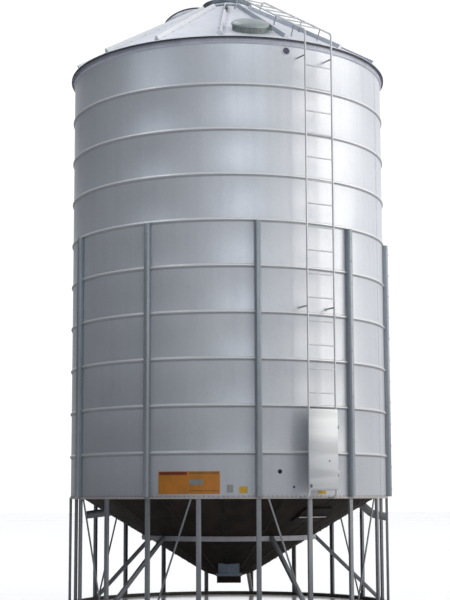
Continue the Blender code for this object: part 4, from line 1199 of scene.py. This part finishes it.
def make_ladder():
    parts = []
    for side in (-LADDER_HALF, LADDER_HALF):
        parts.append(tube(rounded_path([
            ladder_point(side, wall_out(side, BAND_OUT) + 0.002, FOOT_Z),
            ladder_point(side, LADDER_OUT, FOOT_Z),
            ladder_point(side, LADDER_OUT, RAIL_CORNER_Z),
            ladder_point(side, RAIL_END_OUT, rail_z(RAIL_END_OUT)),
            roof_end(side, RAIL_END_OUT, STILE_R),
        ], LADDER_BEND), STILE_R, 16))
    finish_piece(joined(parts), "ladder_stiles", "ladder_steel", RAIL, "ladder", smooth=40)
    rungs = []
    for i in range(WALL_RUNGS):
        z = RUNG_FIRST_Z + i * RUNG_PITCH
        rungs.append(rod(ladder_point(-LADDER_HALF, LADDER_OUT, z), ladder_point(LADDER_HALF, LADDER_OUT, z), RUNG_R))
    for i in range(RAIL_RUNGS):
        out = LADDER_OUT - (i + 1) * RUNG_PITCH * math.cos(SLOPE)
        rungs.append(rod(ladder_point(-LADDER_HALF, out, rail_z(out)),
                         ladder_point(LADDER_HALF, out, rail_z(out)), RUNG_R))
    finish_piece(joined(rungs), "ladder_rungs", "ladder_steel", RUNG, smooth=40)
    feet, pads = [], []
    for side in (-LADDER_HALF, LADDER_HALF):
        wall = wall_out(side, WALL_R) + 0.002
        for z in STANDOFFS:
            feet.append(rod(ladder_point(side, LADDER_OUT, z), ladder_point(side, wall, z), STANDOFF_R))
            azimuth = LADDER_AZ + math.degrees(math.asin(side / WALL_R))
            pads.append(plate((-0.024, -0.020, 0.0005), (0.024, 0.020, 0.004), facing_out(azimuth, WALL_R, z)))
        for out in RAIL_POST_OUT:
            feet.append(rod(ladder_point(side, out, rail_z(out)), roof_end(side, out, RAIL_POST_R), RAIL_POST_R))
    finish_piece(joined(feet), "ladder_standoffs", "ladder_steel", TUBE, smooth=40)
    finish_piece(joined(pads), "ladder_pads", "ladder_steel", WALL)
    lugs = []
    root = LADDER_HALF + STILE_R * 0.4
    edge, near = GUARD_HINGE_SIDE + GUARD_KNUCKLE_R, GUARD_HINGE_SIDE - GUARD_KNUCKLE_R
    front = -GUARD_OUT - GUARD_KNUCKLE_R
    for z in GUARD_HINGE_Z:
        low = z - LUG_H - LUG_GAP
        outline = [(root, 0.006 - LADDER_OUT, low), (edge, 0.006 - LADDER_OUT, low), (edge, front, low),
                   (near, front, low), (near, -0.006 - LADDER_OUT, low), (root, -0.006 - LADDER_OUT, low)]
        lugs.append(prism(outline, (0, 0, LUG_H), frame_at(LADDER_AZ), 0.0008))
    finish_piece(joined(lugs), "guard_lugs", "ladder_steel", RAIL)


def make_guard():
    """The sheet over the lower rungs, on the frame of its hinge."""
    place = frame_at(LADDER_AZ) @ Matrix.Translation((GUARD_HINGE_SIDE, -GUARD_OUT, 0))
    near = GUARD_HALF - GUARD_HINGE_SIDE
    left = near - 2 * GUARD_HALF
    sheet = plate((left, -GUARD_T / 2, GUARD_LOW), (near, GUARD_T / 2, GUARD_HIGH), place, 0.0018)
    finish_piece(sheet, "guard_panel", "guard_sheet", SHEET, "ladder_guard", body="ladder_guard")
    parts = []
    for z in GUARD_HINGE_Z:
        parts.append(rod((0, 0, z), (0, 0, z + GUARD_KNUCKLE_H), GUARD_KNUCKLE_R, 16))
        parts[-1].data.transform(place)
        high = z + GUARD_KNUCKLE_H - 0.003
        parts.append(plate((near - 0.004, -0.002, z + 0.003), (-0.001, 0.002, high), place, 0.0006))
    finish_piece(joined(parts), "guard_hinge_knuckles", "guard_sheet", CLAMP, body="ladder_guard")
    front = place @ Matrix.Translation((0, -GUARD_T / 2, 0)) @ turn_about(90, "X")
    bolt = bolt_template(0.007, 0.005, 0.010)
    latch = plate((-0.014, -0.020, 0.0), (0.014, 0.020, 0.006), None, 0.0015)
    bolt.data.transform(front @ Matrix.Translation((near - GUARD_HALF + 0.088, GUARD_LOW + 0.360, 0)))
    latch.data.transform(front @ Matrix.Translation((left + 0.030, GUARD_LOW + 0.045, 0)))
    finish_piece(joined([bolt, latch]), "guard_latch", "guard_sheet", DARK, body="ladder_guard")


# Ports, plates and small fittings on the shell

def make_ports():
    """The round vent near the eave, and the sample port and earth bolt low on the wall."""
    vent = facing_out(VENT_AZ, WALL_R, VENT_Z)
    outline = [(0.046, -0.004), (0.062, -0.004), (0.062, 0.004), (0.058, 0.008), (0.050, 0.008), (0.046, 0.004)]
    collar = turned(outline, steps=48, matrix=vent)
    finish_piece(collar, "vent_collar", "galvanised_wall", CLAMP)
    grille = turned([(0.0, 0.0045), (0.0455, 0.0035), (0.0455, 0.0), (0.0, 0.0)], steps=48, matrix=vent)
    finish_piece(grille, "vent_mesh", "galvanised_wall", MESH)
    outline = [(0.0, 0.0008), (0.0255, 0.0008), (0.0285, 0.0022), (0.0285, -0.004), (0.0, -0.004)]
    socket = turned(outline, steps=40, matrix=facing_out(SAMPLE_PORT_AZ, WALL_R, SAMPLE_PORT_Z))
    # The port is a shallow disc, black with the painted shade of a hole
    finish_piece(socket, "sample_port", "galvanised_wall", HOLE_SHADE)
    earth = [facing_out(EARTH_BOLT_AZ, WALL_R, EARTH_BOLT_Z)]
    row(bolt_template(0.011, 0.007, 0.016), earth, "earth_bolt", "galvanised_wall", DARK)


def wall_plate(name, start, end, low, high, finish, out=0.0010):
    """A thin plate that follows the wall between two azimuths and two heights."""
    inner, outer = WALL_R + GAP, WALL_R + out
    z0, z1 = SKIRT_Z + low, SKIRT_Z + high
    outline = [(inner, z0), (outer, z0), (outer, z1), (inner, z1)]
    piece = turned(outline, start, end - start, max(4, round(end - start)))
    finish_piece(piece, name, "galvanised_wall", finish)


def make_plates():
    """Plain coloured plates low on the wall."""
    wall_plate("notice_left", -23.75, -13.30, 0.081, 0.367, ORANGE)
    wall_plate("notice_right", -13.28, -2.80, 0.081, 0.367, ORANGE)
    wall_plate("notice_header", -23.4, -13.7, 0.322, 0.360, RED, 0.0014)
    wall_plate("notice_strip", -13.0, -3.1, 0.334, 0.354, OCHRE, 0.0014)
    wall_plate("notice_block", -12.9, -8.4, 0.196, 0.262, GREY_PLATE, 0.0014)
    wall_plate("notice_footer", -13.0, -3.2, 0.114, 0.128, OCHRE, 0.0014)
    wall_plate("rating_plate", -0.60, 1.50, 0.097, 0.197, GREY_PLATE)
    wall_plate("yellow_plate", 3.47, 6.17, 0.089, 0.174, YELLOW)
    wall_plate("small_yellow_plate", 31.0, 34.3, 0.078, 0.129, YELLOW)


# The studio

CAMERA_LENS = 83.46
CAMERA_SHIFT = 0.0393
CAMERA_PLACE = (0.0, -19.86, 1.502)
CAMERA_HEADING = 0.13
CAMERA_PITCH = 97.11
CAMERA_ROLL = -0.15

# The studio's brightness along an axis: from and to, and the brightness at each
WORLD_LEFT = (-0.70, -0.18, 0.07, 1.06)
WORLD_BEHIND = (-0.6, 0.8, 0.55, 1.04)


def make_camera():
    data = bpy.data.cameras.new("camera")
    data.lens = CAMERA_LENS
    data.sensor_width = 36.0
    data.shift_y = CAMERA_SHIFT
    data.clip_end = 500.0
    camera = bpy.data.objects.new("camera", data)
    turn = turn_about(CAMERA_HEADING, "Z") @ turn_about(CAMERA_PITCH, "X") @ turn_about(CAMERA_ROLL, "Z")
    camera.matrix_world = Matrix.Translation(CAMERA_PLACE) @ turn
    bpy.context.scene.collection.objects.link(camera)
    bpy.context.scene.camera = camera


def soft_light(name, azimuth, distance, height, size, power, colour, aim=4.5):
    """A square of soft light round the silo, aimed at a height on its axis."""
    data = bpy.data.lights.new(name, "AREA")
    data.shape = "RECTANGLE"
    data.size, data.size_y = size
    data.energy = power
    data.color = colour
    lamp = bpy.data.objects.new(name, data)
    lamp.matrix_world = along(at(azimuth, distance, height), Vector((0, 0, aim))) @ turn_about(180, "X")
    bpy.context.scene.collection.objects.link(lamp)


def make_world():
    """A pale studio: white ahead, dimmer to the left and behind the camera."""
    world = bpy.data.worlds.new("studio")
    bpy.context.scene.world = world
    world.use_nodes = True
    tree = world.node_tree
    back = tree.nodes["Background"]
    split = tree.nodes.new("ShaderNodeSeparateXYZ")
    tree.links.new(tree.nodes.new("ShaderNodeTexCoord").outputs["Generated"], split.inputs[0])

    def ramp(axis, low, high, to_low, to_high):
        made = tree.nodes.new("ShaderNodeMapRange")
        made.interpolation_type = "SMOOTHSTEP"
        for name, value in (("From Min", low), ("From Max", high), ("To Min", to_low), ("To Max", to_high)):
            made.inputs[name].default_value = value
        tree.links.new(split.outputs[axis], made.inputs["Value"])
        return made.outputs[0]

    made = tree.nodes.new("ShaderNodeMath")
    made.operation = "MULTIPLY"
    tree.links.new(ramp("X", *WORLD_LEFT), made.inputs[0])
    tree.links.new(ramp("Y", *WORLD_BEHIND), made.inputs[1])
    tree.links.new(made.outputs[0], back.inputs["Strength"])
    back.inputs["Color"].default_value = (0.97, 0.98, 1.0, 1.0)


def make_studio():
    floor_paint = Finish("floor_paint", roughness=0.28, specular_ior_level=1.0, coat_weight=1.0, coat_roughness=0.12)
    speck = floor_paint.noise(0.8, 3.0).fit(0.3, 0.7)
    colour = floor_paint.mix(speck, (0.78, 0.78, 0.78, 1.0), (0.75, 0.75, 0.75, 1.0))
    bpy.ops.mesh.primitive_circle_add(vertices=96, radius=120.0, fill_type="NGON")
    floor = settle()
    floor.name = "floor"
    floor.data.materials.append(floor_paint.feed(base_color=colour))
    make_world()
    soft_light("key", 72.0, 14.0, 8.0, (13.0, 11.0), 1160.0, (1.0, 0.935, 0.84))
    soft_light("front", 10.0, 18.0, 11.0, (8.0, 6.0), 380.0, (0.90, 0.96, 1.0))
    soft_light("left", -55.0, 14.0, 16.0, (8.0, 8.0), 340.0, (0.90, 0.95, 1.0), 7.5)
    soft_light("overhead", -95.0, 5.0, 17.5, (4.0, 4.0), 430.0, (1.0, 0.985, 0.97), 8.2)
    bpy.context.scene.view_settings.view_transform = "Standard"
    make_camera()


make_studio()
make_walls()
make_wall_laps()
make_stiffeners()
make_stiffener_bolts()
make_rings()
make_band_rivets()
make_roof()
make_eave_edge()
make_ribs()
make_rib_bolts()
make_roof_bracket()
make_hopper()
make_hopper_seams()
make_outlet()
make_legs()
make_braces()
make_struts()
make_neck()
make_clamps()
make_main_lid()
make_hatch()
make_ladder()
make_guard()
make_ports()
make_plates()
